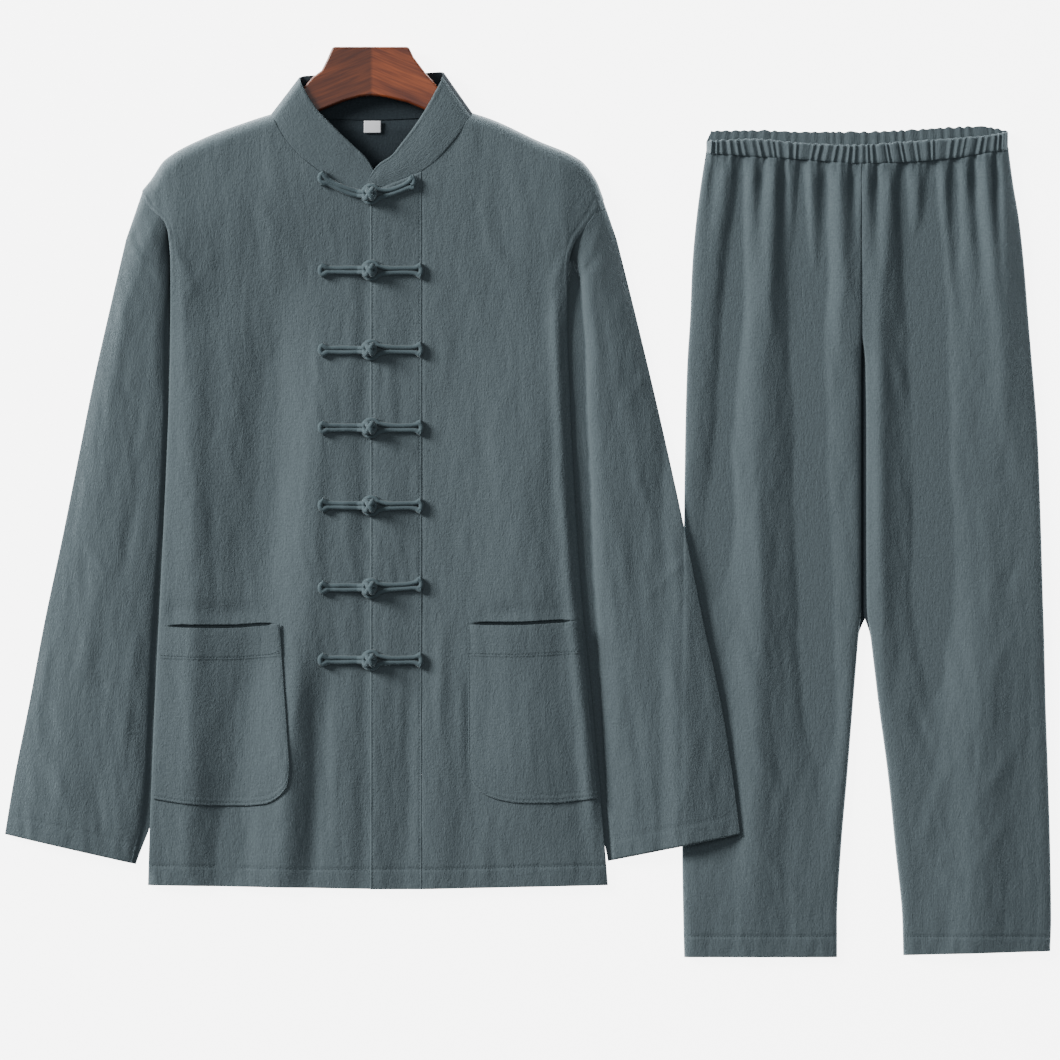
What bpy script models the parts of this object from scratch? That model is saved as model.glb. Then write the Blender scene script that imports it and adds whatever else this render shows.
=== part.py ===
"""A tai chi uniform laid flat: a jacket with a hanger in its collar, and its trousers beside it.

The set lies on z = 0, seen from above, with +Y towards the collar. Each garment is drawn in its
own place: the jacket from the foot of its front opening, the trousers from the foot of their
centre seam. Every size is in millimetres until a mesh is made.
"""

import math

import bmesh
import bpy
import numpy as np
from mathutils import Vector
from mathutils.bvhtree import BVHTree

MM = 0.001

# Walls and gaps.
CLOTH = 1.2
COLLAR_CLOTH = 1.8
BAND_CLOTH = 2.0
LABEL_CLOTH = 1.0
SEAM = 0.35
ARMHOLE_SEAM = 0.85
LAYER_GAP = 0.3
FLAT_TUBE = 2 * CLOTH + LAYER_GAP
EDGE_TOP = CLOTH + LAYER_GAP + CLOTH

# Where each garment's own zero lies, from the middle of the whole set.
JACKET_PLACE = (-157.95, -385.75)
TROUSERS_PLACE = (334.05, -454.75)

# Heights of the laid jacket.
BODY_TOP = 9.0
HEM_TOP = 6.5
HANGER_BASE = 2.1
HANGER_THICKNESS = 13.0
CROWN_TOP = 18.3
SIDE_LIFT = 3.1
SIDE_ROLL = {"left": 16.0, "right": 32.0}
SHOULDER_ROLL = 12.0

# Placket, frogs and label.
PLACKET_EDGE = 0.4
PLACKET_SEAM = 52.15
PLACKET_LIFT = 1.7
CORD_RADIUS = 1.7
LOOP_RADIUS = 8.0
FROG_GAP = 0.5
KNOT_NECK = -8.0
POCKET_GAP = 0.8
LABEL_BOX = (-6.0, 755.0, 11.0, 767.0)

# Trousers.
LEG_TOP = 6.0
LEG_ROLL = 11.0
BAND_TOP = 6.3
FRONT_GATHERS = 42
BACK_GATHERS = 30


def table(names, *rows):
    return {name: np.array(column, float) for name, column in zip(names.split(), zip(*rows))}


# A row for each level of a front: its point on the opening or neck seam, its point on the side or
# armhole, and how far the shoulder's curve has set in.
RIGHT_FRONT = table(
    "neck_x neck_y side_x side_y rise",
    (14, -1, -222, 3, 0),
    (14, 88, -219, 88, 0),
    (14, 188, -215, 188, 0),
    (14, 288, -210, 288, 0),
    (14, 388, -205, 388, 0),
    (14, 488, -201, 488, 0),
    (14, 560, -199.5, 560, 0),
    (14, 625, -199, 605, 0),
    (14, 690, -199, 628, 0),
    (3, 693.5, -199.5, 636, 0.05),
    (-9, 695, -200.5, 648, 0.1),
    (-30, 705, -202, 658, 0.2),
    (-50, 716, -206, 667, 0.3),
    (-68, 730, -212, 673, 0.45),
    (-80, 743, -218, 678, 0.62),
    (-89, 755, -223, 686, 0.8),
    (-95, 767, -226.5, 693, 0.95),
    (-98, 774, -228, 697, 1),
)
LEFT_FRONT = table(
    "neck_x neck_y side_x side_y rise",
    (52.5, -1, 238, 3, 0),
    (52.5, 88, 231, 88, 0),
    (52.5, 188, 222, 188, 0),
    (52.5, 288, 212, 288, 0),
    (52.5, 388, 205, 388, 0),
    (52.5, 488, 200, 488, 0),
    (52.5, 560, 197.5, 560, 0),
    (52.5, 615, 197.5, 595, 0),
    (52.5, 660, 198, 615, 0),
    (52.5, 690, 199, 625, 0.05),
    (52.5, 703, 201, 634, 0.1),
    (52.5, 716.6, 204, 643, 0.2),
    (65, 726, 209, 651, 0.3),
    (78, 740, 216, 660, 0.45),
    (90, 755, 224, 671, 0.62),
    (98, 768, 230, 680.5, 0.8),
    (100.5, 772, 232.5, 685, 0.95),
    (102, 775, 234, 688, 1),
)
FIRST_ARMHOLE_LEVEL = 8
TOP_LEVEL = 17

# The shoulder seams, joined across the neck by the line that the hanger's crown follows.
SHOULDER_LINE = table(
    "x y",
    (-228, 697),
    (-219, 708),
    (-205, 728),
    (-170, 748),
    (-117, 768),
    (-98, 774),
    (0, 806),
    (102, 775),
    (123, 768),
    (166, 748),
    (210, 728),
    (226, 708),
    (234, 688),
)
BACK_NECK_Y = table("x y", (-98, 774), (-60, 770.5), (0, 768), (60, 770.5), (102, 775))

# Soft folds: the line that each follows, its height and how wide it is.
BODY_FOLDS = table(
    "top_x top_y low_x low_y height width",
    (-176, 700, -178, -80, 2.0, 15),
    (-90, 640, -116, 215, -3.8, 30),
    (-112, 300, -152, -60, -3.2, 25),
    (-46, 560, -72, 190, 1.6, 22),
    (-62, 300, -92, -60, 3.0, 22),
    (-46, 260, -66, -60, -2.2, 16),
    (152, 600, 160, -60, 2.6, 38),
    (72, 290, 72, -60, 0.8, 15),
    (30, 250, 28, -60, -1.0, 16),
)
LEG_FOLDS = table(
    "top_x top_y low_x low_y height width",
    (-118, 850, -150, 300, -2.4, 15),
    (-98, 850, -112, -90, 1.8, 19),
    (-63, 850, -38, 90, -3.2, 19),
    (-22, 840, -14, 560, 1.2, 12),
    (16, 830, 20, 200, 1.4, 10),
    (63, 850, 72, 170, -3.4, 22),
    (128, 850, 148, 470, 1.9, 15),
    (122, 400, 112, -90, 2.3, 27),
)
# Small pleats that the waistband gathers into the legs' tops: place, depth and length.
TOP_PLEATS = table(
    "x depth length",
    (-140, 1.2, 70),
    (-121, 1.3, 110),
    (-100, 0.9, 60),
    (-79, 1.1, 80),
    (-61, 1.3, 100),
    (-37, 1.2, 90),
    (-10, 1.1, 60),
    (14, 1.1, 60),
    (40, 1.3, 90),
    (70, 1.3, 110),
    (92, 1.2, 95),
    (111, 1.2, 70),
    (133, 1.3, 80),
)

# A row for each ring of a sleeve below its armhole: outer and inner edge, where the crest lies
# between them, its height, and where the thin inner zone starts.
RIGHT_SLEEVE = table(
    "outer_x outer_y inner_x inner_y crest crest_z thin",
    (-244, 648, -192, 600, 0.34, 12.5, 0.84),
    (-258, 588, -192, 560, 0.3, 11, 0.82),
    (-276, 508, -192, 490, 0.28, 10, 0.85),
    (-292, 428, -195, 420, 0.34, 10, 0.88),
    (-308, 348, -200, 345, 0.38, 10, 0.9),
    (-325, 268, -204, 265, 0.42, 10.5, 0.9),
    (-340, 188, -208, 180, 0.45, 11, 0.91),
    (-356, 108, -213, 90, 0.46, 11, 0.92),
    (-365, 54, -234, 24, 0.46, 9.5, 0.97),
)
LEFT_SLEEVE = table(
    "outer_x outer_y inner_x inner_y crest crest_z thin",
    (247, 648, 190, 590, 0.5, 13, 0.66),
    (262, 588, 190, 550, 0.5, 12, 0.66),
    (286, 488, 193, 480, 0.6, 11, 0.74),
    (304, 408, 197, 405, 0.66, 11, 0.78),
    (320, 332, 201, 330, 0.7, 11.5, 0.82),
    (335, 258, 208, 258, 0.66, 12, 0.85),
    (350, 190, 215, 185, 0.62, 12.5, 0.88),
    (361, 124, 222, 110, 0.58, 12.5, 0.91),
    (370, 54, 238, 27, 0.55, 11, 0.97),
)
SLEEVE_SHARES = (0, 0.02, 0.06, 0.14, 0.26, 0.4, 0.54, 0.66, 0.78, 0.88, 0.95, 1)
# How much of the body's height the sleeve keeps along the armhole, from the shoulder's tip down.
ARMHOLE_FALL = (1, 1, 1, 1, 1, 0.85, 0.6, 0.3, 0.08, 0, 0, 0)

# A row for each section of the collar, from the end of the viewer's-left band round the back to
# the end of the other: its point on the neck seam, on its upper edge, and their heights.
COLLAR = table(
    "seam_x seam_y edge_x edge_y seam_z edge_z",
    (3, 693.5, 5, 716, 15.1, 15.5),
    (-9, 695, -3, 729, 15.3, 16.2),
    (-30, 705, -14, 740, 16.2, 17.2),
    (-50, 716, -26, 751, 17.2, 18.2),
    (-68, 730, -38, 763, 18.1, 18.8),
    (-80, 743, -50, 775, 18.5, 19.2),
    (-89, 755, -60, 789, 18.4, 19.2),
    (-95, 767, -67.5, 803, 17.2, 18.2),
    (-98, 774, -70.5, 810, 9.0, 9.4),
    (-97, 775, -69, 811, 2.6, 2.6),
    (-93, 774.5, -66, 812, 0, 0),
    (-50, 770.2, -36, 813, 0, 0),
    (0, 768.4, 0, 813, 0, 0),
    (50, 770.2, 38, 814, 0, 0),
    (97, 775.2, 70, 816, 0, 0),
    (101, 776, 73, 815.5, 2.6, 2.6),
    (102, 775, 74.5, 814, 9.0, 9.4),
    (98, 768, 71, 806, 17.4, 18.2),
    (90, 755, 63, 791, 18.6, 19.4),
    (78, 740, 54, 775, 18.9, 19.6),
    (65, 726, 41, 756, 18.7, 19.3),
    (52, 716.3, 31, 743, 18.2, 18.9),
    (32, 708, 22, 732, 17.7, 18.5),
    (14, 701, 9, 723, 17.5, 18.2),
    (5, 698, 1, 712, 17.5, 18.0),
    (-1, 697, -2, 702, 17.5, 17.8),
)

# Columns of each patch pocket, from its inner edge to the side seam: foot and mouth.
RIGHT_POCKET = table(
    "low_x low_y top_x top_y",
    (-80, 122, -90, 264),
    (-82, 104, -93, 263.6),
    (-89, 93, -98, 263),
    (-105, 84, -110, 262),
    (-128, 82, -130, 260.5),
    (-152, 82, -152, 260),
    (-182, 84, -178, 260.3),
    (-204, 87, -197, 261),
    (-216, 89, -208.5, 261.5),
)
LEFT_POCKET = table(
    "low_x low_y top_x top_y",
    (99, 121, 98, 263),
    (102, 107, 101, 263.5),
    (110, 97, 107, 263.5),
    (130, 88, 124, 263),
    (155, 85, 145, 263),
    (182, 85, 168, 264),
    (206, 87, 192, 265.5),
    (228, 90, 211, 266.5),
)

# The frogs: height of the knot above the hem, and how far each end curls up.
FROGS = table(
    "y left_curl right_curl right_end",
    (693, 16, 13, 46),
    (617, 0, 0, 53),
    (538, 0, 0, 53),
    (460, 0, 0, 53),
    (382, 0.5, 0, 53),
    (300, 0, 4, 53),
    (228, 0, 0, 53),
)
KNOT_X = -1.0
LOOP_X = 4.0
FROG_LEFT_END = -48.0
# Sections of the knot half from its flared end to the ball: offset from the knot, width across,
# height, and the middle's height over the cloth.
KNOT_SECTIONS = table(
    "x width height middle",
    (-49, 10, 2.4, 1.3),
    (-47, 12.5, 2.8, 1.4),
    (-43.5, 8.6, 3.2, 1.6),
    (-40, 7, 3.4, 1.7),
    (-24, 6.8, 3.4, 1.7),
    (-12, 6.8, 3.4, 1.9),
    (-8.4, 6, 3.6, 4.2),
    (-6.6, 7, 5, 7.6),
    (-4.4, 11.4, 6.8, 8),
    (0, 14, 8.2, 8),
    (4.4, 11.4, 6.8, 8),
    (6.6, 5.4, 3.4, 8),
)

HANGER = (
    (-37, 840.5), (-43, 827), (-48, 817), (-57, 810), (-66, 800), (-83, 775), (-99, 762),
    (-117, 756), (-170, 736), (-188, 727), (-197, 718), (-199, 707), (-193, 699), (-182, 698),
    (-155, 715), (-117, 738), (-80, 760), (-51, 776), (-26, 786), (-10, 790.5), (2, 791.5),
    (16, 790), (37, 785), (54, 778), (84, 760), (121, 738), (160, 714), (187, 698.5),
    (198, 698.5), (204, 707), (201, 717), (190, 726), (166, 736), (123, 756), (101, 762),
    (83, 776), (67, 802), (56, 814), (44, 830), (39, 840.5),
)

# A row for each level of a leg, from the hem up: inner edge or centre seam, and outer side.
RIGHT_LEG = table(
    "inner_x inner_y outer_x outer_y",
    (-25, 0, -178, 0),
    (-25, 40, -179, 40),
    (-21, 110, -180, 110),
    (-15, 180, -180, 180),
    (-9, 255, -179.5, 255),
    (-3.5, 322, -179, 322),
    (-1, 352, -178.5, 352),
    (-1, 440, -178, 440),
    (-1, 520, -177, 520),
    (-1, 592, -175, 592),
    (-0.6, 640, -172, 640),
    (-0.6, 690, -170, 690),
    (-0.6, 735, -166, 735),
    (-0.6, 765, -161, 772),
    (-0.6, 793, -156, 802),
)
LEFT_LEG = table(
    "inner_x inner_y outer_x outer_y",
    (41, 2, 188, 6),
    (40, 40, 189, 40),
    (33, 110, 188, 110),
    (26, 180, 186, 180),
    (16, 255, 183.5, 255),
    (8, 322, 182, 322),
    (4.5, 352, 181, 352),
    (4, 440, 178.5, 440),
    (4, 520, 175.5, 520),
    (3, 592, 170, 592),
    (-0.2, 640, 166, 640),
    (-0.2, 690, 162, 690),
    (-0.2, 735, 157, 735),
    (-0.2, 765, 151, 770),
    (-0.2, 793, 146, 806),
)
CROTCH_LEVELS = (6, 9)
BACK_CROTCH_X = {"right": 1.2, "left": 1.6}
# The waistband's seam to the legs and its two rims.
BAND_LINES = table(
    "x seam_y front_y back_y",
    (-156, 803, 816, 826),
    (-108, 800, 818, 826.5),
    (-62, 797, 814, 825),
    (-5, 793, 812, 825),
    (41, 794, 815, 826.5),
    (90, 798, 818.5, 829.5),
    (121, 803, 821, 830.5),
    (146, 807, 825, 826.5),
)

CLOTH_COLOUR = (0.089, 0.127, 0.144)
DARK_CLOTH_COLOUR = (0.06, 0.085, 0.098)
WOOD_COLOUR = (0.19, 0.055, 0.024)
LABEL_COLOUR = (0.7, 0.71, 0.72)


def follow(keys, values, at):
    """The smooth curve through a table's column, with no overshoot between its rows."""
    keys = np.asarray(keys, float)
    values = np.asarray(values, float)
    at = np.clip(np.asarray(at, float), keys[0], keys[-1])
    step = np.diff(keys)
    slope = np.diff(values) / step
    tangent = np.zeros_like(values)
    before, after = slope[:-1], slope[1:]
    same_way = before * after > 0
    total = np.where(same_way, before + after, 1.0)
    tangent[1:-1] = np.where(same_way, 2 * before * after / total, 0.0)
    tangent[0], tangent[-1] = slope[0], slope[-1]
    index = np.clip(np.searchsorted(keys, at, side="right") - 1, 0, len(step) - 1)
    t = (at - keys[index]) / step[index]
    rise = values[index] * (1 + 2 * t) * (1 - t) ** 2 + values[index + 1] * t * t * (3 - 2 * t)
    lean = tangent[index] * t * (1 - t) ** 2 - tangent[index + 1] * t * t * (1 - t)
    return rise + step[index] * lean


def ramp(low, high, value):
    t = np.clip((np.asarray(value, float) - low) / (high - low), 0, 1)
    return t * t * (3 - 2 * t)


def rolled(distance, radius):
    """Quarter round: 0 at an edge, 1 from one radius inside it."""
    near = 1 - np.clip(np.asarray(distance, float) / radius, 0, 1)
    return np.sqrt(np.clip(1 - near * near, 0, 1))


def folds_at(folds, x, y):
    total = np.zeros(np.broadcast(x, y).shape)
    for top_x, top_y, low_x, low_y, height, width in zip(*folds.values()):
        length = top_y - low_y
        along = np.clip((y - low_y) / length, 0, 1)
        middle = low_x + (top_x - low_x) * along
        window = ramp(0, 0.3, along) * (1 - ramp(0.7, 1, along))
        total = total + height * window * np.exp(-(((x - middle) / width) ** 2))
    return total


def shoulder_at(x):
    return follow(SHOULDER_LINE["x"], SHOULDER_LINE["y"], x)


def side_half_width(y, front):
    below = slice(0, FIRST_ARMHOLE_LEVEL + 1)
    return follow(front["side_y"][below], np.abs(front["side_x"][below]), y)


def side_lift(x, y):
    """How far the back's sides ride up on the sleeves' thin inner edges."""
    half = np.where(x < 0, side_half_width(y, RIGHT_FRONT), side_half_width(y, LEFT_FRONT))
    from_side = half - np.abs(x)
    along = ramp(0, 34, y) * (1 - ramp(641, 662, y))
    return SIDE_LIFT * (1 - ramp(9, 42, from_side)) * along


def body_height(x, y):
    """Top of the fronts over the surface that the set lies on."""
    x, y = np.broadcast_arrays(np.asarray(x, float), np.asarray(y, float))
    half = np.where(x < 0, side_half_width(y, RIGHT_FRONT), side_half_width(y, LEFT_FRONT))
    radius = np.where(x < 0, SIDE_ROLL["left"], SIDE_ROLL["right"])
    side = rolled(half - np.abs(x), radius)
    side = side + (1 - side) * ramp(641, 662, y)
    edge = side_lift(x, y) + EDGE_TOP + 0.1
    open_height = HEM_TOP + (BODY_TOP - HEM_TOP) * ramp(0, 170, y) + folds_at(BODY_FOLDS, x, y)
    low = edge + np.maximum(open_height - edge, 0) * side
    below_shoulder = shoulder_at(x) - y
    crown = (1 - ramp(62, 190, below_shoulder)) * (1 - 0.6 * ramp(188, 236, np.abs(x)))
    height = low + (CROWN_TOP - low) * crown
    slope = (shoulder_at(x + 1) - shoulder_at(x - 1)) / 2
    from_seam = below_shoulder / np.sqrt(1 + slope * slope)
    outside_neck = ramp(80, 94, np.abs(x))
    shoulder = rolled(from_seam, SHOULDER_ROLL)
    return EDGE_TOP + (height - EDGE_TOP) * (1 - (1 - shoulder) * outside_neck)


def placket_lift(x):
    return PLACKET_LIFT * (1 - ramp(16, 44, x))


def leg_edges(y):
    right = follow(RIGHT_LEG["outer_y"], RIGHT_LEG["outer_x"], y)
    right_inner = follow(RIGHT_LEG["inner_y"], RIGHT_LEG["inner_x"], y)
    left_inner = follow(LEFT_LEG["inner_y"], LEFT_LEG["inner_x"], y)
    left = follow(LEFT_LEG["outer_y"], LEFT_LEG["outer_x"], y)
    return right, right_inner, left_inner, left


def pleats_at(x, y):
    total = np.zeros(np.broadcast(x, y).shape)
    seam = follow(BAND_LINES["x"], BAND_LINES["seam_y"], x)
    for middle, depth, length in zip(*TOP_PLEATS.values()):
        fade = 1 - ramp(0, length, seam - y)
        total = total - depth * fade * np.exp(-(((x - middle) / 6.5) ** 2))
    return total


def leg_height(x, y):
    """Top of the trousers' fronts."""
    x, y = np.broadcast_arrays(np.asarray(x, float), np.asarray(y, float))
    right, right_inner, left_inner, left = leg_edges(y)
    outer_gap = np.where(x < 0, x - right, left - x)
    inner_gap = np.where(x < 0, right_inner - x, x - left_inner)
    above_crotch = ramp(585, 640, y)
    outer = rolled(outer_gap, LEG_ROLL)
    inner = rolled(inner_gap, LEG_ROLL)
    inner = inner + (1 - inner) * above_crotch
    height = LEG_TOP + folds_at(LEG_FOLDS, x, y) + pleats_at(x, y)
    height = EDGE_TOP + np.maximum(height - EDGE_TOP, 0.4) * outer * inner
    pressed = ramp(60, 120, y) * (1 - ramp(440, 500, y)) * (1 - ramp(-135, -100, x))
    return EDGE_TOP + (height - EDGE_TOP) * (1 - 0.55 * pressed)


def front_lattice(front, levels, shares):
    """Plan of a front: its levels run from the hem to the shoulder, its shares to the side."""
    rows = np.arange(len(front["rise"]))
    column = {name: follow(rows, values, levels)[:, None] for name, values in front.items()}
    share = np.asarray(shares, float)[None, :]
    x = column["neck_x"] * (1 - share) + column["side_x"] * share
    y = column["neck_y"] * (1 - share) + column["side_y"] * share
    top_x = front["neck_x"][-1] * (1 - share) + front["side_x"][-1] * share
    top_y = front["neck_y"][-1] * (1 - share) + front["side_y"][-1] * share
    return x, y + column["rise"] * (shoulder_at(top_x) - top_y)


def back_lattice(levels, shares):
    rows = np.arange(TOP_LEVEL + 1)
    share = np.asarray(shares, float)[None, :]

    def side(front, name):
        return follow(rows, front[name], levels)[:, None]

    x = side(RIGHT_FRONT, "side_x") * (1 - share) + side(LEFT_FRONT, "side_x") * share
    y = side(RIGHT_FRONT, "side_y") * (1 - share) + side(LEFT_FRONT, "side_y") * share
    rise = side(RIGHT_FRONT, "rise")
    top_x = x[-1:] * np.ones_like(x)
    inside_neck = (top_x > BACK_NECK_Y["x"][0]) & (top_x < BACK_NECK_Y["x"][-1])
    neck = follow(BACK_NECK_Y["x"], BACK_NECK_Y["y"], top_x)
    top = np.where(inside_neck, neck, shoulder_at(top_x))
    return x, y + rise * (top - y[-1:])


def material(name, colour, roughness):
    made = bpy.data.materials.new(name)
    made.use_nodes = True
    surface = made.node_tree.nodes["Principled BSDF"]
    surface.inputs["Base Color"].default_value = (*colour, 1)
    surface.inputs["Roughness"].default_value = roughness
    surface.inputs["Metallic"].default_value = 0
    made.diffuse_color = (*colour, 1)
    return made


def place(name, at):
    empty = bpy.data.objects.new(name, None)
    empty.location = (at[0] * MM, at[1] * MM, 0)
    bpy.context.collection.objects.link(empty)
    return empty


def add_object(name, data, parent, colour, roughness=0.9):
    made = bpy.data.objects.new(name, data)
    made.parent = parent
    data.materials.append(material(name, colour, roughness))
    bpy.context.collection.objects.link(made)
    return made


def grid_mesh(name, x, y, z, ring=False, facing_up=True):
    """A sheet of quads over a lattice. A ring closes each row on itself."""
    x, y, z = np.broadcast_arrays(x, y, z)
    rows, columns = x.shape
    built = bmesh.new()
    points = [
        [built.verts.new((x[i, j] * MM, y[i, j] * MM, z[i, j] * MM)) for j in range(columns)]
        for i in range(rows)
    ]
    last = columns if ring else columns - 1
    for i in range(rows - 1):
        for j in range(last):
            after = (j + 1) % columns
            corners = (points[i][j], points[i][after], points[i + 1][after], points[i + 1][j])
            built.faces.new(corners)
    built.normal_update()
    upper = built.faces[:]
    if ring:
        by_height = sorted(built.faces, key=lambda face: face.calc_center_median().z)
        upper = by_height[-len(by_height) // 10:]
    if (sum(face.normal.z for face in upper) > 0) != facing_up:
        bmesh.ops.reverse_faces(built, faces=built.faces[:])
    mesh = bpy.data.meshes.new(name)
    built.to_mesh(mesh)
    built.free()
    mesh.shade_smooth()
    return mesh


def thicken(piece, wall):
    solid = piece.modifiers.new("Wall", "SOLIDIFY")
    solid.thickness = wall * MM
    solid.offset = -1
    return piece


def surface_reader(pieces):
    """A function that gives the highest top of some finished pieces under a point.

    Over a seam's gap it reads the cloth just beside the gap.
    """
    bpy.context.view_layer.update()
    ready = bpy.context.evaluated_depsgraph_get()
    trees = [BVHTree.FromObject(piece, ready) for piece in pieces]

    def top_at(x, y):
        for step_x, step_y in ((0, 0), (-0.6, 0), (0.6, 0), (0, -1.5), (0, -4), (0, -9)):
            start = Vector(((x + step_x) * MM, (y + step_y) * MM, 0.1))
            hits = [tree.ray_cast(start, Vector((0, 0, -1)))[0] for tree in trees]
            tops = [hit.z / MM for hit in hits if hit is not None]
            if tops:
                break
        return max(tops)

    return np.vectorize(top_at)


FRONT_LEVELS = (0, 0.15, 0.4, 1, 1.5, 2, 2.5, 3, 3.5, 4, 4.5, 5, 5.5, 6.2, 7, 8, 9, 10, 11, 12, 13,
                14, 15, 16, 16.5, 17)
RIGHT_FRONT_SHARES = (0, 0.06, 0.14, 0.24, 0.34, 0.44, 0.54, 0.64, 0.74, 0.84, 0.92, 0.965, 0.987,
                      1)
LEFT_FRONT_SHARES = (0, 0.14, 0.28, 0.42, 0.56, 0.68, 0.78, 0.87, 0.94, 0.98, 1)
BACK_LEVELS = (0, 0.15, 0.4, 1, 2, 3, 4, 5, 6, 7, 8, 9, 10, 11, 12, 13, 14, 15, 16, 17)
BACK_SHARES = (0, 0.02, 0.05, 0.085, 0.126, 0.24, 0.2814, 0.3874, 0.494, 0.604, 0.7143, 0.76,
               0.853, 0.9, 0.948, 0.98, 1)
PLACKET_COLUMNS = (PLACKET_EDGE, 5, 14, 23, 32, 42, PLACKET_SEAM)


def add_fronts(parent):
    pieces = []
    for name, front, shares in (
        ("jacket_front_right", RIGHT_FRONT, RIGHT_FRONT_SHARES),
        ("jacket_front_left", LEFT_FRONT, LEFT_FRONT_SHARES),
    ):
        x, y = front_lattice(front, FRONT_LEVELS, shares)
        mesh = grid_mesh(name, x, y, body_height(x, y))
        pieces.append(thicken(add_object(name, mesh, parent, CLOTH_COLOUR), CLOTH))
    return pieces


def add_back(parent):
    x, y = back_lattice(BACK_LEVELS, BACK_SHARES)
    mesh = grid_mesh("jacket_back", x, y, side_lift(x, y), facing_up=False)
    return thicken(add_object("jacket_back", mesh, parent, DARK_CLOTH_COLOUR), CLOTH)


def add_placket(parent):
    """The band along the left front's edge. It overlaps the right front's edge."""
    x = np.array(PLACKET_COLUMNS)[None, :]
    straight = [level for level in FRONT_LEVELS if level <= FIRST_ARMHOLE_LEVEL]
    rows = follow(np.arange(TOP_LEVEL + 1), RIGHT_FRONT["neck_y"], straight)
    neck_points = [(PLACKET_EDGE, 697.3), (5, 698), (14, 701), (32, 708), (PLACKET_SEAM, 716.2)]
    neck = np.interp(x, *zip(*neck_points)) - SEAM
    below = np.minimum(rows[:, None], neck - 2) * np.ones_like(x)
    y = np.vstack([below, neck])
    x = x * np.ones_like(y)
    mesh = grid_mesh("jacket_placket", x, y, body_height(x, y) + placket_lift(x))
    return thicken(add_object("jacket_placket", mesh, parent, CLOTH_COLOUR), CLOTH)


def add_collar(parent):
    seam = np.stack([COLLAR["seam_x"], COLLAR["seam_y"], COLLAR["seam_z"]])
    edge = np.stack([COLLAR["edge_x"], COLLAR["edge_y"], COLLAR["edge_z"]])
    across = edge - seam
    seam = seam + across / np.linalg.norm(across, axis=0) * SEAM
    lattice = [seam + (edge - seam) * share for share in (0, 0.5, 1)]
    x, y, z = (np.array([row[axis] for row in lattice]) for axis in range(3))
    mesh = grid_mesh("jacket_collar", x, y, z)
    return thicken(add_object("jacket_collar", mesh, parent, CLOTH_COLOUR), COLLAR_CLOTH)


def sleeve_profile(share, crest, crest_z, thin):
    """Height over the tube's own floor: up from the outer edge, down to the thin inner zone."""
    outside = np.sin(math.pi / 2 * np.clip(share / crest, 0, 1)) ** 0.8
    inside = np.cos(math.pi / 2 * np.clip((share - crest) / (thin - crest), 0, 1))
    shape = np.where(share < crest, outside, inside)
    return FLAT_TUBE + (crest_z - FLAT_TUBE) * shape


def sleeve_floor(x, y):
    """The left sleeve's cuff lies on the trousers' leg, so its underside rises there."""
    to_trousers_x = JACKET_PLACE[0] - TROUSERS_PLACE[0]
    to_trousers_y = JACKET_PLACE[1] - TROUSERS_PLACE[1]
    leg_x = x + to_trousers_x
    leg_y = y + to_trousers_y
    edge = leg_edges(leg_y)[0]
    return (leg_height(leg_x, leg_y) + 1.3) * ramp(edge - 24, edge - 2, leg_x)


def sleeve_lattice(sleeve, front, levels):
    """Plan and crest height of a sleeve. Level 0 is the armhole, each later one a table row."""
    armhole = slice(TOP_LEVEL, FIRST_ARMHOLE_LEVEL - 1, -1)
    way = np.sign(sleeve["outer_x"][0])
    hidden_x = way * np.array([195.5, 193.0])
    hidden_y = front["side_y"][FIRST_ARMHOLE_LEVEL] - np.array([3.0, 5.0])
    start_x = np.append(front["side_x"][armhole], hidden_x)
    start_y = np.append(front["side_y"][armhole], hidden_y)
    start_z = FLAT_TUBE + (body_height(start_x, start_y) - FLAT_TUBE) * np.array(ARMHOLE_FALL)
    step_x, step_y = np.gradient(start_x), np.gradient(start_y)
    pace = np.hypot(step_x, step_y)
    share = np.array(SLEEVE_SHARES)
    rows = np.arange(1, len(sleeve["crest"]) + 1)
    xs, ys, zs = [], [], []
    for level in levels:
        row = {name: follow(rows, values, max(level, 1)) for name, values in sleeve.items()}
        x = row["outer_x"] * (1 - share) + row["inner_x"] * share
        y = row["outer_y"] * (1 - share) + row["inner_y"] * share
        z = sleeve_profile(share, row["crest"], row["crest_z"], row["thin"])
        if level < 1:
            blend = level if level > 0 else 0
            seam_x = start_x - way * step_y / pace * ARMHOLE_SEAM
            seam_y = start_y + way * step_x / pace * ARMHOLE_SEAM
            x = seam_x * (1 - blend) + x * blend
            y = seam_y * (1 - blend) + y * blend
            z = start_z * (1 - blend) + z * blend
        xs.append(x)
        ys.append(y)
        zs.append(z)
    return np.array(xs), np.array(ys), np.array(zs)


SLEEVE_LEVELS = (0, 0.3, 0.65, 1, 1.6, 2.3, 3, 4, 5, 6, 7, 8, 8.6, 9)


def add_sleeve(name, sleeve, front, parent):
    x, y, z = sleeve_lattice(sleeve, front, SLEEVE_LEVELS)
    floor = sleeve_floor(x, y) if sleeve is LEFT_SLEEVE else np.zeros_like(z)
    ring_x = np.hstack([x, x[:, ::-1]])
    ring_y = np.hstack([y, y[:, ::-1]])
    ring_z = np.hstack([z + floor, floor[:, ::-1]])
    mesh = grid_mesh(name, ring_x, ring_y, ring_z, ring=True)
    return thicken(add_object(name, mesh, parent, CLOTH_COLOUR), CLOTH)


def add_pocket(name, pocket, parent, top_at):
    up = np.array((0, 0.1, 0.25, 0.42, 0.6, 0.77, 0.9, 1))[:, None]
    x = pocket["low_x"] * (1 - up) + pocket["top_x"] * up
    y = pocket["low_y"] * (1 - up) + pocket["top_y"] * up
    mesh = grid_mesh(name, x, y, top_at(x, y) + POCKET_GAP + CLOTH)
    return thicken(add_object(name, mesh, parent, CLOTH_COLOUR), CLOTH)


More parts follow.
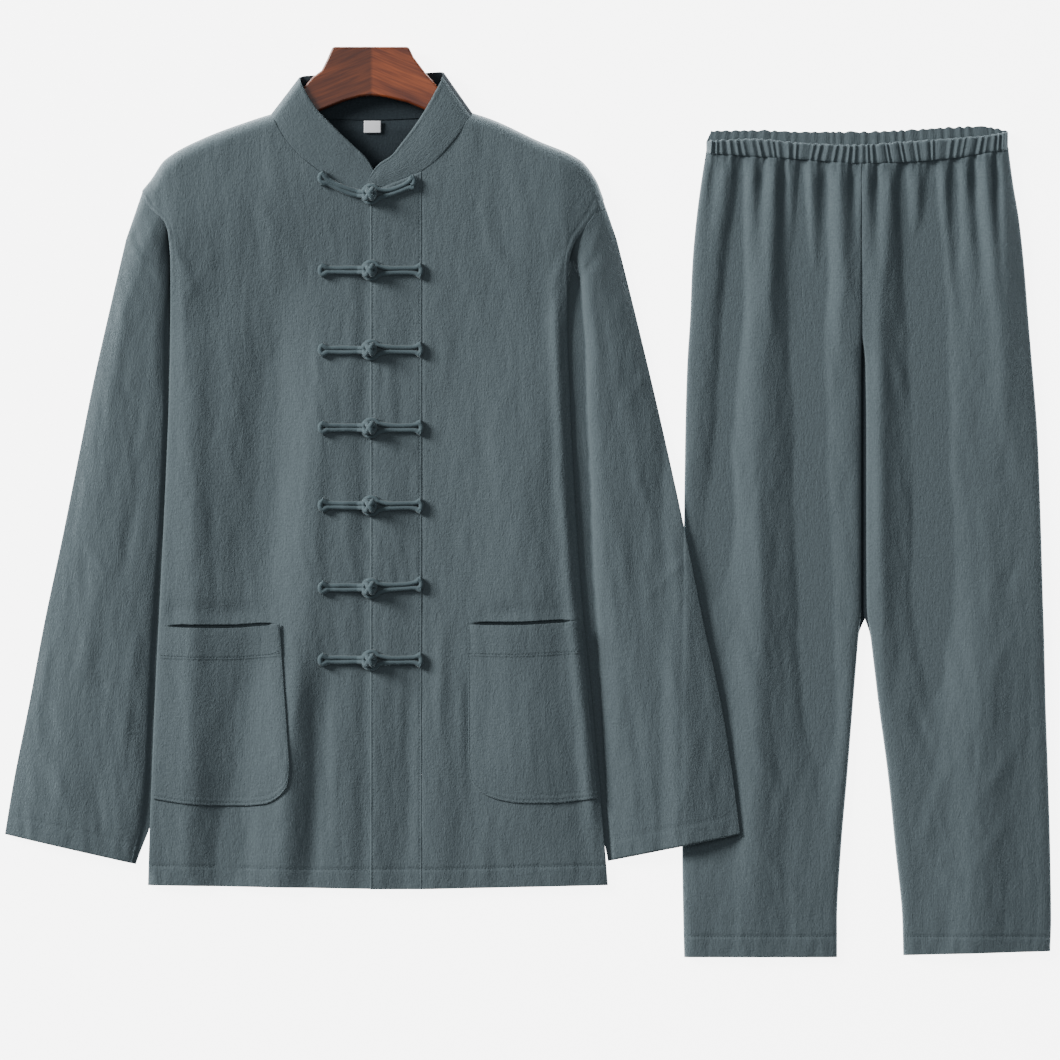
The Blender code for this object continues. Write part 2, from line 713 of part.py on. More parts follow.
def add_label(parent):
    x = np.array([LABEL_BOX[0], LABEL_BOX[2]])[None, :]
    y = np.array([LABEL_BOX[1], LABEL_BOX[3]])[:, None]
    top = CLOTH + LAYER_GAP + LABEL_CLOTH
    mesh = grid_mesh("neck_label", x, y, np.full((2, 2), top))
    return thicken(add_object("neck_label", mesh, parent, LABEL_COLOUR, 0.7), LABEL_CLOTH)


def add_knot_half(number, frog, parent, top_at):
    """Cord bar with a flared end, sewn on, and the ball knot at its other end."""
    sides = 8
    reach = (-LOOP_RADIUS, 0, LOOP_RADIUS)
    around = [top_at(LOOP_X + dx, frog["y"] + dy) for dx in reach for dy in reach]
    ball_base = max(around)
    built = bmesh.new()
    rings = []
    for x, width, height, middle in zip(*KNOT_SECTIONS.values()):
        along = min(1, max(0, (-x - 8) / 40))
        y = frog["y"] + frog["left_curl"] * along ** 1.5
        base = top_at(KNOT_X + x, y) if x < KNOT_NECK else ball_base
        base = base + FROG_GAP
        ring = []
        for side in range(sides):
            turn = 2 * math.pi * (side + 0.5) / sides
            point = (
                (KNOT_X + x) * MM,
                (y + math.cos(turn) * width / 2) * MM,
                (base + middle + math.sin(turn) * height / 2) * MM,
            )
            ring.append(built.verts.new(point))
        rings.append(ring)
    for first, second in zip(rings, rings[1:]):
        for side in range(sides):
            after = (side + 1) % sides
            built.faces.new((first[side], first[after], second[after], second[side]))
    built.faces.new(rings[0])
    built.faces.new(rings[-1])
    bmesh.ops.recalc_face_normals(built, faces=built.faces[:])
    name = f"frog_knot_{number}"
    mesh = bpy.data.meshes.new(name)
    built.to_mesh(mesh)
    built.free()
    mesh.shade_smooth()
    return add_object(name, mesh, parent, CLOTH_COLOUR)


def loop_route(frog):
    """Plan of the loop half's one cord: out along the bar, round the knot and back."""
    end = frog["right_end"]
    bar = ((0, 5.6), (-2.2, 3.6), (-6, 2.1), (-14, 1.85), (-26, 1.85))
    out = [(end + dx, dy) for dx, dy in bar]
    turns = np.radians(np.linspace(32, 328, 11))
    ring = [(LOOP_X + LOOP_RADIUS * math.cos(a), LOOP_RADIUS * math.sin(a)) for a in turns]
    back = [(x, -y) for x, y in reversed(out)]
    return out + ring + back


def add_loop_half(number, frog, parent, top_at):
    name = f"frog_loop_{number}"
    curve = bpy.data.curves.new(name, "CURVE")
    curve.dimensions = "3D"
    curve.bevel_depth = CORD_RADIUS * MM
    curve.bevel_resolution = 1
    curve.use_fill_caps = True
    route = loop_route(frog)
    spline = curve.splines.new("POLY")
    spline.points.add(len(route) - 1)
    for point, (x, dy) in zip(spline.points, route):
        along = min(1, max(0, (x - 12) / (frog["right_end"] - 12)))
        y = frog["y"] + dy + frog["right_curl"] * along ** 1.5
        around = [top_at(x + dx, y + dy) for dx in (-2, 0, 2) for dy in (-2, 0, 2)]
        z = max(around) + FROG_GAP + CORD_RADIUS
        point.co = (x * MM, y * MM, z * MM, 1)
    return add_object(name, curve, parent, CLOTH_COLOUR)


def add_hanger(parent):
    built = bmesh.new()
    foot = [built.verts.new((x * MM, y * MM, HANGER_BASE * MM)) for x, y in HANGER]
    face = built.faces.new(foot)
    made = bmesh.ops.extrude_face_region(built, geom=[face])
    lifted = [item for item in made["geom"] if isinstance(item, bmesh.types.BMVert)]
    bmesh.ops.translate(built, verts=lifted, vec=(0, 0, HANGER_THICKNESS * MM))
    bmesh.ops.recalc_face_normals(built, faces=built.faces[:])
    mesh = bpy.data.meshes.new("hanger")
    built.to_mesh(mesh)
    built.free()
    piece = add_object("hanger", mesh, parent, WOOD_COLOUR, 0.35)
    edges = piece.modifiers.new("Eased edges", "BEVEL")
    edges.width = 2.2 * MM
    edges.segments = 2
    edges.limit_method = "ANGLE"
    edges.angle_limit = math.radians(60)
    return piece


LEG_LEVELS = (0, 0.6, 1.3, 2, 3, 4, 5, 6, 7, 8, 9, 10, 11, 12, 12.7, 13.4, 14)
FRONT_LEG_COLUMNS = 22


def leg_lattice(leg, levels, shares):
    rows = np.arange(len(leg["inner_x"]))
    column = {name: follow(rows, values, levels)[:, None] for name, values in leg.items()}
    share = np.asarray(shares, float)[None, :]
    x = column["inner_x"] * (1 - share) + column["outer_x"] * share
    y = column["inner_y"] * (1 - share) + column["outer_y"] * share
    seam = follow(BAND_LINES["x"], BAND_LINES["seam_y"], x[-1:]) - SEAM
    near_top = np.clip((np.asarray(levels)[:, None] - 11) / 3, 0, 1)
    return x, y + near_top * (seam - y[-1:])


def add_leg(side, leg, parent):
    edge_share = 0.022
    inner_part = np.linspace(edge_share, 1 - edge_share, FRONT_LEG_COLUMNS - 2)
    shares = np.concatenate([[0], inner_part, [1]])
    x, y = leg_lattice(leg, LEG_LEVELS, shares)
    name = f"trousers_front_{side}"
    front = grid_mesh(name, x, y, leg_height(x, y))
    thicken(add_object(name, front, parent, CLOTH_COLOUR), CLOTH)

    behind = {name: values.copy() for name, values in leg.items()}
    first, last = CROTCH_LEVELS
    behind["inner_x"][first:last + 1] = BACK_CROTCH_X[side]
    x, y = leg_lattice(behind, LEG_LEVELS, np.linspace(0, 1, 11))
    name = f"trousers_back_{side}"
    back = grid_mesh(name, x, y, np.zeros_like(x), facing_up=False)
    thicken(add_object(name, back, parent, DARK_CLOTH_COLOUR), CLOTH)


def zigzag(count, ends=0.0):
    """One value for each peak and valley of a row of gathers, level at both ends."""
    wave = np.array([1.0 if i % 2 else -1.0 for i in range(2 * count + 1)])
    wave[0] = wave[-1] = ends
    return wave


def band_loops(wall, rim):
    """Loops of the waistband, from its seam to its rims: the front's points, then the back's."""
    x_left, x_right = BAND_LINES["x"][0], BAND_LINES["x"][-1]
    loops = []
    for up in (0, 0.5, 1):
        front_x = np.linspace(x_left + wall, x_right - wall, 2 * FRONT_GATHERS + 1)
        back_x = np.linspace(x_right - wall - 3 * up, x_left + wall + 5 * up, 2 * BACK_GATHERS + 1)

        def line(name, x):
            return follow(BAND_LINES["x"], BAND_LINES[name], x)

        front_y = line("seam_y", front_x) * (1 - up) + line("front_y", front_x) * up
        back_y = line("seam_y", back_x) * (1 - up) + line("back_y", back_x) * up
        depth = (0.75, 0.95, 0.7)[int(up * 2)]
        front_z = BAND_TOP - wall + depth * zigzag(FRONT_GATHERS)
        back_z = np.full(back_x.shape, wall) + rim * 0.5 * zigzag(BACK_GATHERS)
        xs = np.concatenate([front_x, back_x])
        ys = np.concatenate([front_y, back_y])
        zs = np.concatenate([front_z, back_z])
        loops.append((xs, ys, zs))
    return loops


def add_waistband(parent):
    """A gathered casing: a ring with a wavy front, a flat underside and a wavy inner face."""
    built = bmesh.new()
    walls = []
    for wall, rim in ((0.0, 0.0), (BAND_CLOTH, 1.0)):
        loops = [
            [built.verts.new((x * MM, y * MM, z * MM)) for x, y, z in zip(*loop)]
            for loop in band_loops(wall, rim)
        ]
        walls.append(loops)
    outer, inner = walls
    strips = [(outer[0], outer[1]), (outer[1], outer[2]), (outer[2], inner[2])]
    strips += [(inner[2], inner[1]), (inner[1], inner[0]), (inner[0], outer[0])]
    for low, high in strips:
        for j in range(len(low)):
            after = (j + 1) % len(low)
            built.faces.new((low[j], low[after], high[after], high[j]))
    bmesh.ops.recalc_face_normals(built, faces=built.faces[:])
    mesh = bpy.data.meshes.new("trousers_waistband")
    built.to_mesh(mesh)
    built.free()
    mesh.shade_smooth()
    return add_object("trousers_waistband", mesh, parent, CLOTH_COLOUR)


def main():
    for old in list(bpy.data.objects):
        bpy.data.objects.remove(old, do_unlink=True)
    jacket = place("jacket_place", JACKET_PLACE)
    trousers = place("trousers_place", TROUSERS_PLACE)

    add_back(jacket)
    fronts = add_fronts(jacket)
    placket = add_placket(jacket)
    collar = add_collar(jacket)
    add_sleeve("sleeve_right", RIGHT_SLEEVE, RIGHT_FRONT, jacket)
    add_sleeve("sleeve_left", LEFT_SLEEVE, LEFT_FRONT, jacket)
    add_label(jacket)
    add_hanger(jacket)

    over_fronts = surface_reader(fronts)
    add_pocket("pocket_right", RIGHT_POCKET, jacket, over_fronts)
    add_pocket("pocket_left", LEFT_POCKET, jacket, over_fronts)
    over_opening = surface_reader([*fronts, placket, collar])
    for number in range(len(FROGS["y"])):
        frog = {name: values[number] for name, values in FROGS.items()}
        add_knot_half(number + 1, frog, jacket, over_opening)
        add_loop_half(number + 1, frog, jacket, over_opening)

    add_leg("right", RIGHT_LEG, trousers)
    add_leg("left", LEFT_LEG, trousers)
    add_waistband(trousers)


main()
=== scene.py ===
# A tai chi uniform laid flat and seen from straight above, as on a white table.
# Plans and heights are in millimetres in each garment's own place: the jacket from the foot of
# its front opening, the trousers from the foot of their centre seam.

import math

import bpy
import numpy as np
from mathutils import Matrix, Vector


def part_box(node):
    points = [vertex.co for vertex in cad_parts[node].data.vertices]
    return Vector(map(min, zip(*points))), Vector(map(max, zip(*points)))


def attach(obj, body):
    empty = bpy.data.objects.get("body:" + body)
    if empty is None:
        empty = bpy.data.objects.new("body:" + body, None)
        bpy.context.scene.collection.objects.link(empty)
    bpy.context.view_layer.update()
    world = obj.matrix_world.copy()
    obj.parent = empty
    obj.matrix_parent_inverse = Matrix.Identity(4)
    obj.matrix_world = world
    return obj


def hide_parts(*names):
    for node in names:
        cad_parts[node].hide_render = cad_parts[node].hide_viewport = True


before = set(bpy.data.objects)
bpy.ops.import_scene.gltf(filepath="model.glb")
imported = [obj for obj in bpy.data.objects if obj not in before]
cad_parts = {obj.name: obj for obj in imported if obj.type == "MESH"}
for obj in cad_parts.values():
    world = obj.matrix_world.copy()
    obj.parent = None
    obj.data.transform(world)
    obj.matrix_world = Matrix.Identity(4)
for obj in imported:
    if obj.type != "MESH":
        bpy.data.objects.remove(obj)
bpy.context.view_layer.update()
mm = 0.001

# Walls, gaps and heights that the solids are made with.
cloth = 1.2
seam = 0.35
armholeSeam = -1.2
layerGap = 0.3
flatTube = 2 * cloth + layerGap
edgeTop = flatTube
bodyTop = 9.0
hemTop = 6.5
crownTop = 18.3
sideRide = 3.1
sideRoll = {"left": 16.0, "right": 32.0}
shoulderRoll = 12.0
placketEdge = 0.4
placketSeam = 52.15
placketLift = 1.7
legTop = 6.0
legRoll = 11.0

# The garments' places, read from where the solids lie.
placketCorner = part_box("jacket_placket")[0]
jacketPlace = (placketCorner[0] / mm - placketEdge, placketCorner[1] / mm + 1)
legLow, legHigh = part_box("trousers_front_right")
trousersPlace = (legHigh[0] / mm + 0.6, legLow[1] / mm)
print("places", jacketPlace, trousersPlace)


def table(names, *rows):
    return {name: np.array(column, float) for name, column in zip(names.split(), zip(*rows))}


# A row for each level of a front: its point on the opening or neck seam, its point on the side or
# armhole, and how far the shoulder's curve has set in.
rightFront = table(
    "neckX neckY sideX sideY rise",
    (14, -1, -222, 3, 0),
    (14, 88, -219, 88, 0),
    (14, 188, -215, 188, 0),
    (14, 288, -210, 288, 0),
    (14, 388, -205, 388, 0),
    (14, 488, -201, 488, 0),
    (14, 560, -199.5, 560, 0),
    (14, 625, -199, 605, 0),
    (14, 690, -199, 628, 0),
    (3, 693.5, -199.5, 636, 0.05),
    (-9, 695, -200.5, 648, 0.1),
    (-30, 705, -202, 658, 0.2),
    (-50, 716, -206, 667, 0.3),
    (-68, 730, -212, 673, 0.45),
    (-80, 743, -218, 678, 0.62),
    (-89, 755, -223, 686, 0.8),
    (-95, 767, -226.5, 693, 0.95),
    (-98, 774, -228, 697, 1),
)
leftFront = table(
    "neckX neckY sideX sideY rise",
    (52.5, -1, 238, 3, 0),
    (52.5, 88, 231, 88, 0),
    (52.5, 188, 222, 188, 0),
    (52.5, 288, 212, 288, 0),
    (52.5, 388, 205, 388, 0),
    (52.5, 488, 200, 488, 0),
    (52.5, 560, 197.5, 560, 0),
    (52.5, 615, 197.5, 595, 0),
    (52.5, 660, 198, 615, 0),
    (52.5, 690, 199, 625, 0.05),
    (52.5, 703, 201, 634, 0.1),
    (52.5, 716.6, 204, 643, 0.2),
    (65, 726, 209, 651, 0.3),
    (78, 740, 216, 660, 0.45),
    (90, 755, 224, 671, 0.62),
    (98, 768, 230, 680.5, 0.8),
    (100.5, 772, 232.5, 685, 0.95),
    (102, 775, 234, 688, 1),
)
firstArmholeLevel = 8
topLevel = 17

# The shoulder seams, joined across the neck by the line that the hanger's crown follows.
shoulderLine = table(
    "x y",
    (-228, 697),
    (-219, 708),
    (-205, 728),
    (-170, 748),
    (-117, 768),
    (-98, 774),
    (0, 806),
    (102, 775),
    (123, 768),
    (166, 748),
    (210, 728),
    (226, 708),
    (234, 688),
)
backNeckY = table("x y", (-98, 774), (-60, 770.5), (0, 768), (60, 770.5), (102, 775))

# Soft folds: the line that each follows, its height and how wide it is.
bodyFolds = table(
    "topX topY lowX lowY height width",
    (-176, 700, -178, -80, 2.0, 15),
    (-90, 640, -116, 215, -3.8, 30),
    (-112, 300, -152, -60, -3.2, 25),
    (-46, 560, -72, 190, 1.6, 22),
    (-62, 300, -92, -60, 3.0, 22),
    (-46, 260, -66, -60, -2.2, 16),
    (152, 600, 160, -60, 2.6, 38),
    (72, 290, 72, -60, 0.8, 15),
    (30, 250, 28, -60, -1.0, 16),
)
legFolds = table(
    "topX topY lowX lowY height width",
    (-118, 850, -150, 300, -2.4, 15),
    (-98, 850, -112, -90, 1.8, 19),
    (-63, 850, -38, 90, -3.2, 19),
    (-22, 840, -14, 560, 1.2, 12),
    (16, 830, 20, 200, 1.4, 10),
    (63, 850, 72, 170, -3.4, 22),
    (128, 850, 148, 470, 1.9, 15),
    (122, 400, 112, -90, 2.3, 27),
)
# Small pleats that the waistband gathers into the legs' tops: place, depth and length.
topPleats = table(
    "x depth length",
    (-140, 1.2, 70),
    (-121, 1.3, 110),
    (-100, 0.9, 60),
    (-79, 1.1, 80),
    (-61, 1.3, 100),
    (-37, 1.2, 90),
    (-10, 1.1, 60),
    (14, 1.1, 60),
    (40, 1.3, 90),
    (70, 1.3, 110),
    (92, 1.2, 95),
    (111, 1.2, 70),
    (133, 1.3, 80),
)

# A row for each ring of a sleeve below its armhole: outer and inner edge, where the crest lies
# between them, its height, and where the thin inner zone starts.
rightSleeve = table(
    "outerX outerY innerX innerY crest crestZ thin",
    (-244, 648, -192, 600, 0.34, 12.5, 0.84),
    (-258, 588, -192, 560, 0.3, 11, 0.82),
    (-276, 508, -192, 490, 0.28, 10, 0.85),
    (-292, 428, -195, 420, 0.34, 10, 0.88),
    (-308, 348, -200, 345, 0.38, 10, 0.9),
    (-325, 268, -204, 265, 0.42, 10.5, 0.9),
    (-340, 188, -208, 180, 0.45, 11, 0.91),
    (-356, 108, -213, 90, 0.46, 11, 0.92),
    (-365, 54, -234, 24, 0.46, 9.5, 0.97),
)
leftSleeve = table(
    "outerX outerY innerX innerY crest crestZ thin",
    (247, 648, 190, 590, 0.5, 13, 0.66),
    (262, 588, 190, 550, 0.5, 12, 0.66),
    (286, 488, 193, 480, 0.6, 11, 0.74),
    (304, 408, 197, 405, 0.66, 11, 0.78),
    (320, 332, 201, 330, 0.7, 11.5, 0.82),
    (335, 258, 208, 258, 0.66, 12, 0.85),
    (350, 190, 215, 185, 0.62, 12.5, 0.88),
    (361, 124, 222, 110, 0.58, 12.5, 0.91),
    (370, 54, 238, 27, 0.55, 11, 0.97),
)
sleeveShares = (0, 0.02, 0.06, 0.14, 0.26, 0.4, 0.54, 0.66, 0.78, 0.88, 0.95, 1)
# How much of the body's height the sleeve keeps along the armhole, from the shoulder's tip down.
armholeFall = (1, 1, 1, 1, 1, 0.85, 0.6, 0.3, 0.08, 0, 0, 0)

# A row for each section of the collar, from the end of the viewer's-left band round the back to
# the end of the other: its point on the neck seam, on its upper edge, and their heights.
collar = table(
    "seamX seamY edgeX edgeY seamZ edgeZ",
    (3, 693.5, 5, 716, 15.1, 15.5),
    (-9, 695, -3, 729, 15.3, 16.2),
    (-30, 705, -14, 740, 16.2, 17.2),
    (-50, 716, -26, 751, 17.2, 18.2),
    (-68, 730, -38, 763, 18.1, 18.8),
    (-80, 743, -50, 775, 18.5, 19.2),
    (-89, 755, -60, 789, 18.4, 19.2),
    (-95, 767, -67.5, 803, 17.2, 18.2),
    (-98, 774, -70.5, 810, 9.0, 9.4),
    (-97, 775, -69, 811, 2.6, 2.6),
    (-93, 774.5, -66, 812, 0, 0),
    (-50, 770.2, -36, 813, 0, 0),
    (0, 768.4, 0, 813, 0, 0),
    (50, 770.2, 38, 814, 0, 0),
    (97, 775.2, 70, 816, 0, 0),
    (101, 776, 73, 815.5, 2.6, 2.6),
    (102, 775, 74.5, 814, 9.0, 9.4),
    (98, 768, 71, 806, 17.4, 18.2),
    (90, 755, 63, 791, 18.6, 19.4),
    (78, 740, 54, 775, 18.9, 19.6),
    (65, 726, 41, 756, 18.7, 19.3),
    (52, 716.3, 31, 743, 18.2, 18.9),
    (32, 708, 22, 732, 17.7, 18.5),
    (14, 701, 9, 723, 17.5, 18.2),
    (5, 698, 1, 712, 17.5, 18.0),
    (-1, 697, -2, 702, 17.5, 17.8),
)

# Columns of each patch pocket, from its inner edge to the side seam: foot and mouth.
rightPocket = table(
    "lowX lowY topX topY",
    (-80, 122, -90, 264),
    (-82, 104, -93, 263.6),
    (-89, 93, -98, 263),
    (-105, 84, -110, 262),
    (-128, 82, -130, 260.5),
    (-152, 82, -152, 260),
    (-182, 84, -178, 260.3),
    (-204, 87, -197, 261),
    (-216, 89, -208.5, 261.5),
)
leftPocket = table(
    "lowX lowY topX topY",
    (99, 121, 98, 263),
    (102, 107, 101, 263.5),
    (110, 97, 107, 263.5),
    (130, 88, 124, 263),
    (155, 85, 145, 263),
    (182, 85, 168, 264),
    (206, 87, 192, 265.5),
    (228, 90, 211, 266.5),
)

# The frogs: height of the knot above the hem, and how far each end curls up.
frogs = table(
    "y leftCurl rightCurl rightEnd",
    (693, 16, 13, 46),
    (617, 0, 0, 53),
    (538, 0, 0, 53),
    (460, 0, 0, 53),
    (382, 0.5, 0, 53),
    (300, 0, 4, 53),
    (228, 0, 0, 53),
)

# A row for each level of a leg, from the hem up: inner edge or centre seam, and outer side.
rightLeg = table(
    "innerX innerY outerX outerY",
    (-25, 0, -178, 0),
    (-25, 40, -179, 40),
    (-21, 110, -180, 110),
    (-15, 180, -180, 180),
    (-9, 255, -179.5, 255),
    (-3.5, 322, -179, 322),
    (-1, 352, -178.5, 352),
    (-1, 440, -178, 440),
    (-1, 520, -177, 520),
    (-1, 592, -175, 592),
    (-0.6, 640, -172, 640),
    (-0.6, 690, -170, 690),
    (-0.6, 735, -166, 735),
    (-0.6, 765, -161, 772),
    (-0.6, 793, -156, 802),
)
leftLeg = table(
    "innerX innerY outerX outerY",
    (41, 2, 188, 6),
    (40, 40, 189, 40),
    (33, 110, 188, 110),
    (26, 180, 186, 180),
    (16, 255, 183.5, 255),
    (8, 322, 182, 322),
    (4.5, 352, 181, 352),
    (4, 440, 178.5, 440),
    (4, 520, 175.5, 520),
    (3, 592, 170, 592),
    (-0.2, 640, 166, 640),
    (-0.2, 690, 162, 690),
    (-0.2, 735, 157, 735),
    (-0.2, 765, 151, 770),
    (-0.2, 793, 146, 806),
)
crotchLevels = (6, 9)
# The waistband's seam to the legs and its two rims.
bandLines = table(
    "x seamY frontY backY",
    (-156, 803, 816, 826),
    (-108, 800, 818, 826.5),
    (-62, 797, 814, 825),
    (-5, 793, 812, 825),
    (41, 794, 815, 826.5),
    (90, 798, 818.5, 829.5),
    (121, 803, 821, 830.5),
    (146, 807, 825, 826.5),
)


def follow(keys, values, at):
    # The smooth curve through a table's column, with no overshoot between its rows.
    keys = np.asarray(keys, float)
    values = np.asarray(values, float)
    at = np.clip(np.asarray(at, float), keys[0], keys[-1])
    step = np.diff(keys)
    slope = np.diff(values) / step
    tangent = np.zeros_like(values)
    before, after = slope[:-1], slope[1:]
    sameWay = before * after > 0
    total = np.where(sameWay, before + after, 1.0)
    tangent[1:-1] = np.where(sameWay, 2 * before * after / total, 0.0)
    tangent[0], tangent[-1] = slope[0], slope[-1]
    index = np.clip(np.searchsorted(keys, at, side="right") - 1, 0, len(step) - 1)
    t = (at - keys[index]) / step[index]
    rise = values[index] * (1 + 2 * t) * (1 - t) ** 2 + values[index + 1] * t * t * (3 - 2 * t)
    lean = tangent[index] * t * (1 - t) ** 2 - tangent[index + 1] * t * t * (1 - t)
    return rise + step[index] * lean


def ramp(low, high, value):
    t = np.clip((np.asarray(value, float) - low) / (high - low), 0, 1)
    return t * t * (3 - 2 * t)


def rolled(distance, radius):
    # Quarter round: 0 at an edge, 1 from one radius inside it.
    near = 1 - np.clip(np.asarray(distance, float) / radius, 0, 1)
    return np.sqrt(np.clip(1 - near * near, 0, 1))


def foldsAt(folds, x, y):
    total = np.zeros(np.broadcast(x, y).shape)
    for topX, topY, lowX, lowY, height, width in zip(*folds.values()):
        length = topY - lowY
        along = np.clip((y - lowY) / length, 0, 1)
        middle = lowX + (topX - lowX) * along
        window = ramp(0, 0.3, along) * (1 - ramp(0.7, 1, along))
        total = total + height * window * np.exp(-(((x - middle) / width) ** 2))
    return total


def shoulderAt(x):
    return follow(shoulderLine["x"], shoulderLine["y"], x)


def sideHalfWidth(y, front):
    below = slice(0, firstArmholeLevel + 1)
    return follow(front["sideY"][below], np.abs(front["sideX"][below]), y)


def sideLiftAt(x, y):
    # How far the back's sides ride up on the sleeves' thin inner edges.
    half = np.where(x < 0, sideHalfWidth(y, rightFront), sideHalfWidth(y, leftFront))
    fromSide = half - np.abs(x)
    along = ramp(0, 34, y) * (1 - ramp(641, 662, y))
    return sideRide * (1 - ramp(9, 42, fromSide)) * along


def bodyHeight(x, y):
    # Top of the fronts over the surface that the set lies on.
    x, y = np.broadcast_arrays(np.asarray(x, float), np.asarray(y, float))
    half = np.where(x < 0, sideHalfWidth(y, rightFront), sideHalfWidth(y, leftFront))
    radius = np.where(x < 0, sideRoll["left"], sideRoll["right"])
    side = rolled(half - np.abs(x), radius)
    side = side + (1 - side) * ramp(641, 662, y)
    edge = sideLiftAt(x, y) + edgeTop + 0.1
    openHeight = hemTop + (bodyTop - hemTop) * ramp(0, 170, y) + foldsAt(bodyFolds, x, y)
    low = edge + np.maximum(openHeight - edge, 0) * side
    belowShoulder = shoulderAt(x) - y
    crown = (1 - ramp(62, 190, belowShoulder)) * (1 - 0.6 * ramp(188, 236, np.abs(x)))
    height = low + (crownTop - low) * crown
    slope = (shoulderAt(x + 1) - shoulderAt(x - 1)) / 2
    fromSeam = belowShoulder / np.sqrt(1 + slope * slope)
    outsideNeck = ramp(80, 94, np.abs(x))
    shoulder = rolled(fromSeam, shoulderRoll)
    return edgeTop + (height - edgeTop) * (1 - (1 - shoulder) * outsideNeck)


def placketLiftAt(x):
    return placketLift * (1 - ramp(16, 44, x))


def legEdges(y):
    right = follow(rightLeg["outerY"], rightLeg["outerX"], y)
    rightInner = follow(rightLeg["innerY"], rightLeg["innerX"], y)
    leftInner = follow(leftLeg["innerY"], leftLeg["innerX"], y)
    left = follow(leftLeg["outerY"], leftLeg["outerX"], y)
    return right, rightInner, leftInner, left


def pleatsAt(x, y):
    total = np.zeros(np.broadcast(x, y).shape)
    seam = follow(bandLines["x"], bandLines["seamY"], x)
    for middle, depth, length in zip(*topPleats.values()):
        fade = 1 - ramp(0, length, seam - y)
        total = total - depth * fade * np.exp(-(((x - middle) / 6.5) ** 2))
    return total


def legHeight(x, y):
    # Top of the trousers' fronts.
    x, y = np.broadcast_arrays(np.asarray(x, float), np.asarray(y, float))
    right, rightInner, leftInner, left = legEdges(y)
    outerGap = np.where(x < 0, x - right, left - x)
    innerGap = np.where(x < 0, rightInner - x, x - leftInner)
    aboveCrotch = ramp(585, 640, y)
    outer = rolled(outerGap, legRoll)
    inner = rolled(innerGap, legRoll)
    inner = inner + (1 - inner) * aboveCrotch
    height = legTop + foldsAt(legFolds, x, y) + pleatsAt(x, y)
    height = edgeTop + np.maximum(height - edgeTop, 0.4) * outer * inner
    pressed = ramp(60, 120, y) * (1 - ramp(440, 500, y)) * (1 - ramp(-135, -100, x))
    return edgeTop + (height - edgeTop) * (1 - 0.55 * pressed)


def frontLattice(front, levels, shares):
    # Plan of a front: its levels run from the hem to the shoulder, its shares to the side.
    rows = np.arange(len(front["rise"]))
    column = {name: follow(rows, values, levels)[:, None] for name, values in front.items()}
    share = np.asarray(shares, float)[None, :]
    x = column["neckX"] * (1 - share) + column["sideX"] * share
    y = column["neckY"] * (1 - share) + column["sideY"] * share
    topX = front["neckX"][-1] * (1 - share) + front["sideX"][-1] * share
    topY = front["neckY"][-1] * (1 - share) + front["sideY"][-1] * share
    return x, y + column["rise"] * (shoulderAt(topX) - topY)


def backLattice(levels, shares):
    rows = np.arange(topLevel + 1)
    share = np.asarray(shares, float)[None, :]

    def side(front, name):
        return follow(rows, front[name], levels)[:, None]

    x = side(rightFront, "sideX") * (1 - share) + side(leftFront, "sideX") * share
    y = side(rightFront, "sideY") * (1 - share) + side(leftFront, "sideY") * share
    rise = side(rightFront, "rise")
    topX = x[-1:] * np.ones_like(x)
    insideNeck = (topX > backNeckY["x"][0]) & (topX < backNeckY["x"][-1])
    neck = follow(backNeckY["x"], backNeckY["y"], topX)
    top = np.where(insideNeck, neck, shoulderAt(topX))
    return x, y + rise * (top - y[-1:])


# Creases: a bowed line from start to end, its height, its half width and its bow.
bodyCreases = table(
    "startX startY endX endY height width bow",
    (-214, 668, -176, 590, 1.0, 5.5, 5),
    (-205, 650, -150, 610, -0.8, 5, -4),
    (-196, 640, -186, 520, 0.9, 6, 3),
    (-190, 560, -150, 640, 0.5, 6, 6),
    (-120, 690, -60, 590, 0.7, 7, 8),
    (-150, 480, -120, 380, 0.5, 6, -5),
    (-176, 400, -160, 280, 0.7, 6, 4),
    (-60, 600, -52, 470, 0.7, 5, 2),
    (-30, 640, -26, 520, -0.6, 4.5, 2),
    (-24, 470, -22, 320, 0.6, 4.5, -2),
    (-44, 420, -40, 290, -0.6, 5, -2),
    (-70, 240, -92, 60, 1.1, 7, 4),
    (-56, 200, -60, 20, -1.0, 6, 3),
    (-34, 220, -32, 40, 0.8, 6, -2),
    (28, 560, 30, 400, -0.6, 5, 1),
    (30, 240, 28, 60, 0.9, 6, 2),
    (62, 640, 76, 500, 0.5, 7, 4),
    (72, 300, 66, 130, 0.8, 6, 2),
    (110, 680, 160, 590, 0.7, 9, -8),
    (216, 655, 178, 585, 1.0, 6, -5),
    (205, 640, 192, 500, -0.7, 5, 3),
    (120, 500, 130, 360, 0.5, 9, 3),
    (98, 270, 90, 60, 0.9, 6, -3),
    (120, 80, 112, 4, 0.7, 6, 1),
    (196, 80, 204, 6, 0.7, 7, 1),
    (-206, 279, -104, 274, -1.9, 10, 0),
    (106, 275, 208, 277, -1.4, 10, 0),
    (-180, 76, -188, 4, 0.8, 7, 1),
    (-120, 78, -126, 4, -0.8, 7, 1),
)
